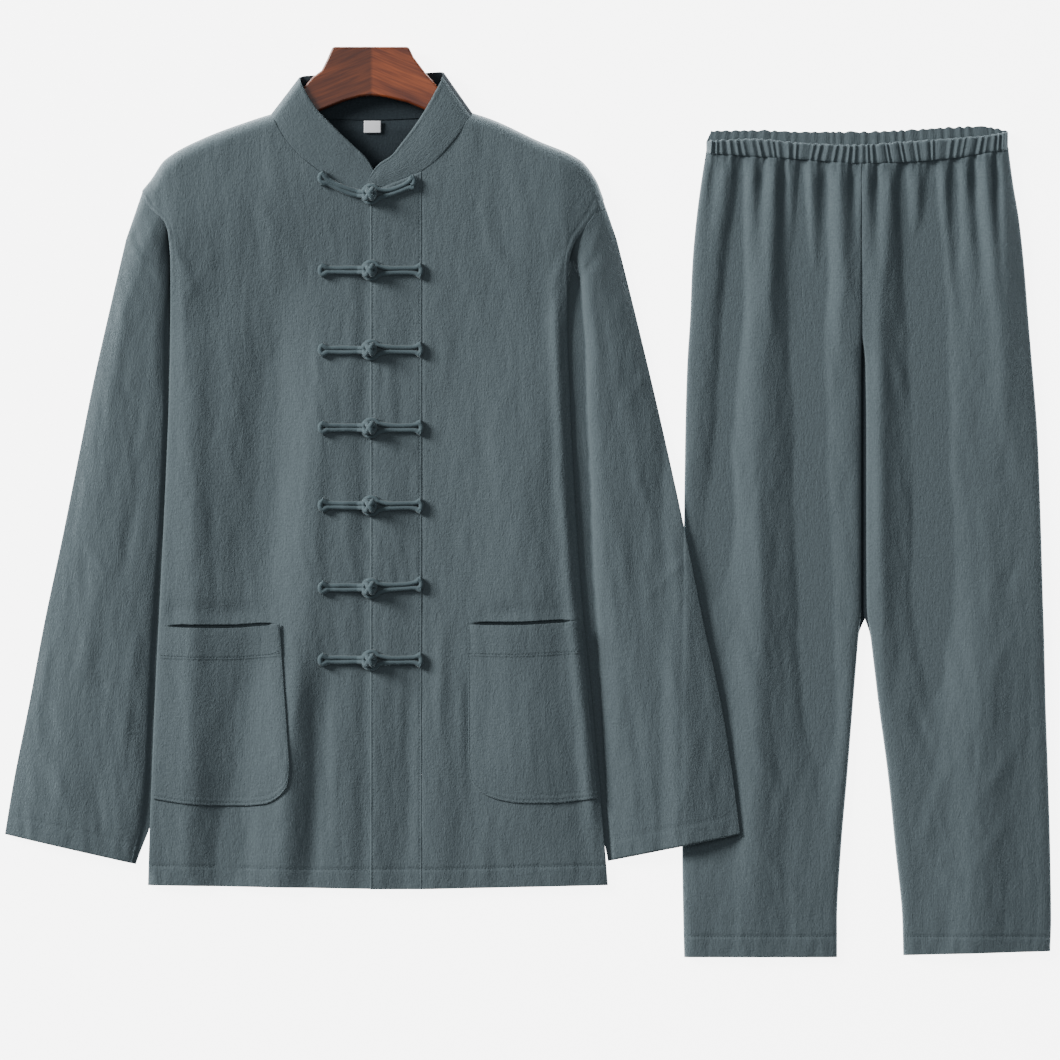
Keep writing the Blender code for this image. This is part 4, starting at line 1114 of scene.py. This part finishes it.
def addSleeve(node, settings):
    sleeve, creases, seed = settings["rings"], settings["creases"], settings["seed"]
    cuffX = sleeve["outerX"][-1] - sleeve["innerX"][-1]
    cuffY = sleeve["outerY"][-1] - sleeve["innerY"][-1]
    cap = spread(0, 0.98, 0.06, [(0.0, 0.06, 0.02)])
    levels = np.concatenate([cap, spread(1, 9, 8 * step / 600)])
    turns = spread(0, 11, 0.13)
    x, y, z, share, blend = sleeveLattice(settings, levels, turns)
    fromCuff = ((y - sleeve["outerY"][-1]) * cuffX - (x - sleeve["outerX"][-1]) * cuffY)
    fromCuff = np.abs(fromCuff) / math.hypot(cuffX, cuffY)
    z = sleeveTops(x, y, z, share, blend, creases, seed)
    z = z + hemAt(fromCuff, x) * ramp(0, 0.1, share) * (1 - ramp(0.9, 1, share))
    floor = sleeveFloor(x, y) if sleeve is leftSleeve else np.zeros_like(z)
    under = slice(None, None, -6)
    folded = floor[:, under] + 0.05
    hollow = 0.5 * np.abs(creasesAt(creases, -x, y))[:, under] * np.sin(math.pi * share[:, under])
    ringX = np.hstack([x, x[:, under]])
    ringY = np.hstack([y, y[:, under]])
    ringZ = np.hstack([z + floor, folded + hollow])
    run = np.hstack([share * 150, 150 + (1 - share[:, under]) * 150])
    grainX = np.hstack([run, np.full((1, 1), 300.0)]) + seed
    grainY = np.append(levels, levels[-1])[:-1, None] * 72
    piece = addSheet(node + "_cloth", jacketPlace, ringX, ringY, ringZ, (grainX, grainY),
                     sheetWall, True)
    return dress(piece, node, outerCloth)


for node, settings in sleeves.items():
    addSleeve(node, settings)
print("placket, collar and sleeves made")


# Pockets: each lies on the front's own points, with a double band at its mouth.
pockets = {
    "pocket_right": {"plan": rightPocket, "grainShift": 500},
    "pocket_left": {"plan": leftPocket, "grainShift": 600},
}
pocketWidth, pocketLength, pocketBand = 125.0, 180.0, 31.0


def pocketLattice(pocket, across, up):
    corners = np.arange(len(pocket["lowX"]))
    at = {name: follow(corners, values, across)[None, :] for name, values in pocket.items()}
    up = np.asarray(up, float)[:, None]
    x = at["lowX"] * (1 - up) + at["topX"] * up
    return x, at["lowY"] * (1 - up) + at["topY"] * up, at["topY"]


def pocketTopAt(pocket, across, up):
    x, y, mouth = pocketLattice(pocket, across, up)
    last = len(pocket["lowX"]) - 1
    inward = np.asarray(across)[None, :] / last * pocketWidth
    upward = np.asarray(up)[:, None] * pocketLength
    sewn = np.minimum(inward, upward)
    rounded = 0.9 * rolled(sewn, 1.8) - 0.9
    stitch = -0.4 * np.exp(-((sewn - 3.4) / 1.0) ** 2) - 0.25 * np.exp(-((sewn - 8.4) / 1.0) ** 2)
    belly = 0.9 * ramp(6, 40, sewn) * (1 - 0.3 * ramp(110, 180, upward))
    bow = np.sin(math.pi * np.clip(inward / pocketWidth * 0.86 + 0.07, 0, 1))
    mouthLift = 1.7 * ramp(140, 180, upward) * bow
    band = 0.7 * ramp(-1.2, 0.6, y - (mouth - pocketBand))
    bandStitch = -0.45 * np.exp(-((y - mouth + pocketBand - 1.4) / 0.9) ** 2)
    z = bodyTopAt(x, y) + 2.0 + rounded + stitch + belly + mouthLift + band + bandStitch
    return x, y, z


def addPocket(node, settings):
    pocket, grainShift = settings["plan"], settings["grainShift"]
    last = len(pocket["lowX"]) - 1
    across = spread(0, last, last / 62, [(0.0, 0.7, 0.06), (last, 0.2, 0.06)])
    up = spread(0, 1, 1 / 84, [(0.0, 0.055, 0.005), (1.0, 0.01, 0.004), (0.83, 0.03, 0.004)])
    x, y, z = pocketTopAt(pocket, across, up)
    piece = addSheet(node + "_cloth", jacketPlace, x, y, z, (x + grainShift, y * 1.01 + 40), 1.0)
    return dress(piece, node, outerCloth)


for node, settings in pockets.items():
    addPocket(node, settings)

labelX, labelY = spread(-6, 11, 1.0)[None, :], spread(755, 767, 1.0)[:, None]
labelZ = 3.4 + 0.3 * np.sin((labelX + 6) / 17 * math.pi) + 0.2 * np.sin(labelY / 3.1)
label = addSheet("neck_label_tape", jacketPlace, labelX, labelY, labelZ, (labelX, labelY), 0.5)
dress(label, "neck_label", labelTape)


# Hanger: varnished wood with eased edges. Its two halves show as a change of grain at the mitre.
hanger = {
    "base": 2.1,
    "thickness": 13.0,
    "easedEdge": 2.6,
    "outline": [(-37, 840.5), (-43, 827), (-48, 817), (-57, 810), (-66, 800), (-83, 775),
                (-99, 762), (-117, 756), (-170, 736), (-188, 727), (-197, 718), (-199, 707),
                (-193, 699), (-182, 698), (-155, 715), (-117, 738), (-80, 760), (-51, 776),
                (-26, 786), (-10, 790.5), (2, 791.5), (16, 790), (37, 785), (54, 778),
                (84, 760), (121, 738), (160, 714), (187, 698.5), (198, 698.5), (204, 707),
                (201, 717), (190, 726), (166, 736), (123, 756), (101, 762), (83, 776),
                (67, 802), (56, 814), (44, 830), (39, 840.5)],
}


def addHanger():
    # A disc is drawn out to the hanger's outline, extruded up and given eased edges.
    outline = hanger["outline"]
    bpy.ops.object.select_all(action="DESELECT")
    bpy.ops.mesh.primitive_circle_add(vertices=len(outline), radius=0.1, fill_type="NGON")
    wood = bpy.context.active_object
    wood.name = wood.data.name = "hanger_wood"
    for corner, (x, y) in zip(wood.data.vertices, outline):
        corner.co = ((x + jacketPlace[0]) * mm, (y + jacketPlace[1]) * mm, hanger["base"] * mm)
    bpy.ops.object.mode_set(mode="EDIT")
    bpy.ops.mesh.select_all(action="SELECT")
    rise = {"value": (0, 0, hanger["thickness"] * mm)}
    bpy.ops.mesh.extrude_region_move(TRANSFORM_OT_translate=rise)
    bpy.ops.mesh.select_all(action="SELECT")
    bpy.ops.mesh.normals_make_consistent(inside=False)
    bpy.ops.mesh.faces_shade_smooth()
    bpy.ops.object.mode_set(mode="OBJECT")
    eased = wood.modifiers.new("eased edges", "BEVEL")
    eased.width = hanger["easedEdge"] * mm
    eased.segments = 4
    eased.limit_method = "ANGLE"
    eased.angle_limit = math.radians(60)
    weighted = wood.modifiers.new("weighted normals", "WEIGHTED_NORMAL")
    weighted.keep_sharp = True
    return dress(wood, "hanger", varnish)


addHanger()
print("pockets, label and hanger made")


# Frogs: doubled cords laid side by side, with splayed ends and a ball knot in a loop.

frogCords = {"cordRadius": 2.4, "knotX": -1.0, "loopX": 4.0, "loopRadius": 8.0, "farEnd": -48.0}
boneShape = ((2, 4.4), (-1, 3.6), (-1.6, 0), (-1, -3.6), (2, -4.4))  # the wrap across an end


def coverTopAt(x, y):
    # What the frogs lie on at a point: the placket, or the front beside it.
    onPlacket = (x > placketEdge - 3) & (x < placketSeam + 2)
    overPlacket = placketLiftAt(np.clip(x, 0, 60)) + 0.45
    return bodyTopAt(x, y) + np.where(onPlacket, overPlacket, 0)


def addCords(name, node, strands):
    curve = bpy.data.curves.new(name, "CURVE")
    curve.dimensions = "3D"
    curve.bevel_depth = mm
    curve.bevel_resolution = 3
    curve.resolution_u = 3
    curve.use_fill_caps = True
    for strand, radius, closed in strands:
        spline = curve.splines.new("NURBS")
        spline.points.add(len(strand) - 1)
        widths = np.broadcast_to(radius, len(strand))
        for point, width, (x, y, z) in zip(spline.points, widths, strand):
            point.co = ((x + jacketPlace[0]) * mm, (y + jacketPlace[1]) * mm, z * mm, 1)
            point.radius = width
        spline.order_u = 3
        spline.use_endpoint_u = not closed
        spline.use_cyclic_u = closed
    cords = bpy.data.objects.new(name, curve)
    bpy.context.scene.collection.objects.link(cords)
    return dress(cords, node, frogCord)


def frogStrands(frog, number):
    # The knot half's strands and the loop half's, laid on the cloth.
    cordRadius, knotX, loopX, loopRadius, farEnd = frogCords.values()
    row, end = frog["y"], frog["rightEnd"]
    wobble = np.random.default_rng(90 + number).uniform(-0.5, 0.5, 8)

    def lay(x, y, lift):
        return x, y, float(coverTopAt(np.array([x]), np.array([y]))[0]) + lift

    def bone(x, curl, way):
        strand = [lay(x + way * dx, row + curl + dy, cordRadius + 0.5) for dx, dy in boneShape]
        return strand, 1.1 * cordRadius, False

    knotHalf = []
    for side in (-1, 1):
        strand, radii = [], []
        for x in np.linspace(farEnd, knotX - 5, 16):
            along = np.clip((-x - 8) / 40, 0, 1)
            splay = 2.6 * ramp(0.84, 1, along) + 0.2 * np.sin(x / 5 + wobble[0] * 6)
            y = row + frog["leftCurl"] * along**1.5 + side * (2.1 + splay) + wobble[1]
            strand.append(lay(x, y, cordRadius + 0.1 + 3.2 * ramp(-12, -6, x)))
            radii.append(cordRadius * (1 + 0.4 * ramp(0.8, 0.93, along)))
        knotHalf.append((strand, radii, False))
    knotHalf.append(bone(farEnd, frog["leftCurl"], 1))

    # The ball: one cord wound three times over and under itself.
    ballZ = lay(loopX, row, 6.4)[2]
    wrap = []
    for t in np.linspace(0, 4 * math.pi, 60, endpoint=False):
        longitude, latitude = t + 0.6, 0.95 * math.cos(1.5 * t)
        radius = 5.5 + 0.9 * math.sin(3 * t)
        across = radius * math.cos(latitude) * math.cos(longitude)
        rise = radius * math.cos(latitude) * math.sin(longitude)
        up = radius * math.sin(latitude)
        wrap.append((knotX + 1.2 + across * 1.02, row + up * 0.98, ballZ + rise))
    knotHalf.append((wrap, 2.7, True))

    route = [(-2, 5.2), (-4, 4.6), (-7, 2.6), (-15, 2.2), (-26, 2.2), (-34, 2.3)]
    out = [(end + dx, dy) for dx, dy in route if end + dx > loopX + 9]
    angles = np.radians(np.linspace(28, 332, 17))
    ring = [(loopX - 2.6 + loopRadius * 1.1 * math.cos(a), loopRadius * 1.06 * math.sin(a))
            for a in angles]
    strand, radii = [], []
    for x, dy in out + ring + [(x, -y) for x, y in reversed(out)]:
        along = np.clip((x - 12) / (end - 12), 0, 1)
        y = row + dy + frog["rightCurl"] * along**1.5 + 0.3 * math.sin(x / 6 + wobble[2] * 6)
        strand.append(lay(x, y, cordRadius + 0.1))
        radii.append(cordRadius * (1 + 0.4 * ramp(end - 7, end - 1, x)))
    return knotHalf, [(strand, radii, False), bone(end - 3, frog["rightCurl"], -1)]


for number in range(len(frogs["y"])):
    frog = {name: values[number] for name, values in frogs.items()}
    knotHalf, loopHalf = frogStrands(frog, number)
    addCords(f"frog_{number + 1}_knot_cord", f"frog_knot_{number + 1}", knotHalf)
    addCords(f"frog_{number + 1}_loop_cord", f"frog_loop_{number + 1}", loopHalf)
print("frogs made")


# Trousers. The legs' tops run on under the waistband, and the left leg's edge under the right's.


def underBand(x, y):
    return ramp(0, waistband["tuck"], y - follow(bandLines["x"], bandLines["seamY"], x))


def legLattice(leg, levels, shares):
    rows = np.arange(len(leg["innerX"]))
    column = {name: follow(rows, values, levels)[:, None] for name, values in leg.items()}
    share = np.asarray(shares, float)[None, :]
    x = column["innerX"] * (1 - share) + column["outerX"] * share
    y = column["innerY"] * (1 - share) + column["outerY"] * share
    top = follow(bandLines["x"], bandLines["seamY"], x[-1:]) + waistband["tuck"]
    nearTop = np.clip((np.asarray(levels)[:, None] - 11) / 3, 0, 1)
    return x, y + nearTop * (top - y[-1:])


# Each leg's plan and creases, and where its back's inner edge runs at the crotch.
legs = {
    "right": {"plan": rightLeg, "creases": rightLegCreases, "backInner": 6.0},
    "left": {"plan": leftLeg, "creases": leftLegCreases, "backInner": 0.5},
}


def addLeg(side, settings):
    leg = settings["plan"]
    rows = np.arange(len(leg["innerY"]))
    heights = spread(0, 795, step, [(hemStitch, 6, 0.8), (1, 2, 0.7)])
    shares = spread(0, 1, step / 172, [(0.0, 0.04, 0.007), (1.0, 0.04, 0.007)])
    x, y = legLattice(leg, np.interp(heights, leg["innerY"], rows), shares)
    crotch = ramp(585, 640, y)
    z = legTopAt(x, y) - 1.5 * crotch * (1 - rolled(np.abs(x), 5.0))
    if side == "left":
        tucked = crotch * (1 - ramp(0, 8, x))
        x = x - 1.4 * tucked
        z = z - 0.5 * tucked
    z = z + (2.6 - z) * underBand(x, y)
    front = addSheet(f"trousers_front_{side}_cloth", trousersPlace, x, y, z, (x + 900, y),
                     sheetWall)
    dress(front, f"trousers_front_{side}", trouserCloth)

    behind = {name: values.copy() for name, values in leg.items()}
    first, last = crotchLevels
    behind["innerX"][first:last + 1] = settings["backInner"]
    levels = np.interp(spread(0, 795, hidden), leg["innerY"], rows)
    shares = spread(0, 1, hidden / 172)
    x, y = legLattice(behind, levels, shares)
    overlap = 1.1 * (1 - ramp(6, 16, x)) if side == "left" else 0.0
    swell = np.clip(creasesAt(settings["creases"], -x, y), 0, 1.2) * np.sin(math.pi * shares)
    back = addSheet(f"trousers_back_{side}_cloth", trousersPlace, x, y,
                    sheetWall + 0.1 + overlap + 0.3 * swell, (x + 1300, y), sheetWall)
    # The backs take the dark cloth: painted shade where they show between the legs.
    dress(back, f"trousers_back_{side}", paintedShadeCloth)


for side, settings in legs.items():
    addLeg(side, settings)


# Waistband: a casing over elastic. Its front and its back are gathered into uneven ridges.


def bandLine(name, x):
    return follow(bandLines["x"], bandLines[name], x)


low, high = bandLines["x"][0], bandLines["x"][-1]
frontX = np.linspace(low, high, 420)
backX = np.linspace(high, low, 300)
up = spread(0, 1, 0.07, [(0.0, 0.1, 0.03), (1.0, 0.12, 0.03)])[:, None]
ends = np.minimum(rolled(frontX - low, 5), rolled(high - frontX, 5))[None, :]
backEnds = np.minimum(rolled(backX - low, 5), rolled(high - backX, 5))[None, :]
backShift = (-3 * (backX > 0) + 5 * (backX < 0)) * np.abs(backX) / 150
gather = gathersAt(frontX + 4 * np.sin(frontX / 23) * up, "front")
frontY = bandLine("seamY", frontX) * (1 - up) + bandLine("frontY", frontX) * up
frontY = frontY + 0.7 * up * gathersAt(frontX, "front")
tuck = 2.0 * rolled(up * 20, 5.0) + 1.8 * rolled((1 - up) * 20, 3.0) - 3.8
frontZ = 1.6 + (waistband["top"] + 0.5 + 1.05 * gather + tuck) * ends
backGather = gathersAt(backX, "back")
backY = bandLine("seamY", backX) * (1 - up) + bandLine("backY", backX) * up
backY = backY + 0.8 * up * backGather
backZ = 1.7 + 0.45 * (1 + backGather) * backEnds + 0 * up
ringX = np.hstack([frontX + 0 * up, backX + backShift * up])
ringY = np.hstack([frontY, backY])
ringZ = np.hstack([frontZ, backZ])
grainX = np.concatenate([frontX, backX, [low]])[None, :] * 1.3 + 2000
bandCloth = addSheet("trousers_waistband_cloth", trousersPlace, ringX, ringY, ringZ,
                     (grainX, up * 24), waistband["wall"], True)
dress(bandCloth, "trousers_waistband", trouserCloth)
print("trousers made")


# Stitches: short threads half sunk in the cloth along each sewn line.


def stitchLine(x, y, z, length=2.3, gap=1.0):
    # Start and end points of the stitches along a line on the cloth.
    points = np.stack([np.ravel(x), np.ravel(y), np.ravel(z) + 0.1], axis=1)
    run = np.concatenate([[0], np.cumsum(np.linalg.norm(np.diff(points, axis=0), axis=1))])
    starts = np.arange(0.5, run[-1] - length, length + gap)

    def at(distance):
        return np.stack([np.interp(distance, run, points[:, k]) for k in range(3)], axis=1)

    return at(starts), at(starts + length)


def addStitches(name, place, lines, node):
    radius = 0.26
    points, faces = [], []
    for start, end in lines:
        for a, b in zip(start, end):
            way = (b - a) / np.linalg.norm(b - a)
            side = np.array([-way[1], way[0], 0]) * radius
            rise = np.array([0, 0, radius])
            middle = (a + b) / 2 + rise * 0.6
            first = len(points)
            for p in (a - rise * 0.4, middle + side, middle + rise, middle - side,
                      middle - rise, b - rise * 0.4):
                points.append(((p[0] + place[0]) * mm, (p[1] + place[1]) * mm, p[2] * mm))
            ring = (1, 2, 3, 4)
            for k in range(4):
                one, two = ring[k], ring[(k + 1) % 4]
                faces.append((first, first + two, first + one))
                faces.append((first + 5, first + one, first + two))
    mesh = bpy.data.meshes.new(name)
    mesh.from_pydata(points, [], faces)
    mesh.polygons.foreach_set("use_smooth", np.ones(len(mesh.polygons), bool))
    thread = bpy.data.objects.new(name, mesh)
    bpy.context.scene.collection.objects.link(thread)
    return dress(thread, node, frogCord)


lines = []
for low, high in ((-219, 12), (54, 236)):
    x = np.linspace(low, high, 120)
    y = hemLine(x) + hemStitch
    lines.append(stitchLine(x, y, bodyTopAt(x, y)))
inset = placket["stitchInset"]
for edge, top in ((placketEdge + inset, 690), (placketSeam - inset, 708)):
    y = np.linspace(2, top, 300)
    x = np.full_like(y, edge)
    lines.append(stitchLine(x, y, placketTopAt(x, y)))
for pocket, inner in ((rightPocket, 0.24), (leftPocket, 0.22)):
    last = len(pocket["lowX"]) - 1
    lines.append(stitchLine(*pocketTopAt(pocket, [inner], np.linspace(0.98, 0.03, 90))))
    lines.append(stitchLine(*pocketTopAt(pocket, np.linspace(0.3, last, 90), [0.02])))
    lines.append(stitchLine(*pocketTopAt(pocket, np.linspace(0.1, last, 90), [0.8362])))
    tack = pocketTopAt(pocket, [0.62], np.linspace(0.99, 0.84, 30))
    lines.append(stitchLine(*tack, length=1.2, gap=0.4))
for low, high in ((0.2, 7.3), (17.7, 24.8)):
    x, y, z = collarLattice(np.linspace(low, high, 90), [0.93])
    lines.append(stitchLine(x, y, z + 0.4))
jacketStitches = addStitches("jacket_stitches", jacketPlace, lines, None)

lines = []
for low, high in ((-176, -27), (43, 187)):
    x = np.linspace(low, high, 100)
    y = np.full_like(x, 1 + hemStitch)
    lines.append(stitchLine(x, y, legTopAt(x, y)))
trouserStitches = addStitches("trouser_stitches", trousersPlace, lines, None)
print("stitches made")

# Floor, lights and camera.

white = newMaterial("white surface")[0]
finish(white, 1.0, Base_Color=(0.9, 0.9, 0.9, 1), Emission_Color=(1, 1, 1, 1),
       Emission_Strength=6.0)
bpy.ops.mesh.primitive_plane_add(size=12, location=(0, 0, -0.001))
floor = bpy.context.active_object
floor.name = "floor"
floor.data.materials.append(white)


# Each lamp points at the middle of the floor.
lamps = {
    "window": {"at": (-6.2, 3.3, 2.9), "size": 2.6, "power": 1040, "colour": (1.0, 0.985, 0.975)},
    "ceiling": {"at": (0.2, 0.4, 2.6), "size": 1.5, "power": 12, "colour": (0.94, 0.97, 1.0)},
}


def addLamp(name, settings):
    light = bpy.data.lights.new(name, "AREA")
    light.shape = "SQUARE"
    light.size = settings["size"]
    light.energy = settings["power"]
    light.color = settings["colour"]
    lamp = bpy.data.objects.new(name, light)
    lamp.location = settings["at"]
    x, y, z = settings["at"]
    lamp.rotation_euler = (math.atan2(math.hypot(x, y), z), 0, math.atan2(-y, -x) - math.pi / 2)
    bpy.context.scene.collection.objects.link(lamp)


for name, settings in lamps.items():
    addLamp(name, settings)

world = bpy.context.scene.world or bpy.data.worlds.new("room")
bpy.context.scene.world = world
world.use_nodes = True
room = world.node_tree.nodes["Background"]
room.inputs["Color"].default_value = (0.95, 0.97, 1, 1)
room.inputs["Strength"].default_value = 0.15

# The photo's 1060 pixels take in 1.06 metres, round this middle.
photo = {"middle": (0.00205, -0.02775), "width": 1.06, "cameraHeight": 7.0}
lens = bpy.data.cameras.new("camera")
lens.sensor_width = 36
lens.lens = lens.sensor_width * photo["cameraHeight"] / photo["width"]
lens.clip_end = 50
camera = bpy.data.objects.new("camera", lens)
camera.location = (*photo["middle"], photo["cameraHeight"])
bpy.context.scene.collection.objects.link(camera)
bpy.context.scene.camera = camera
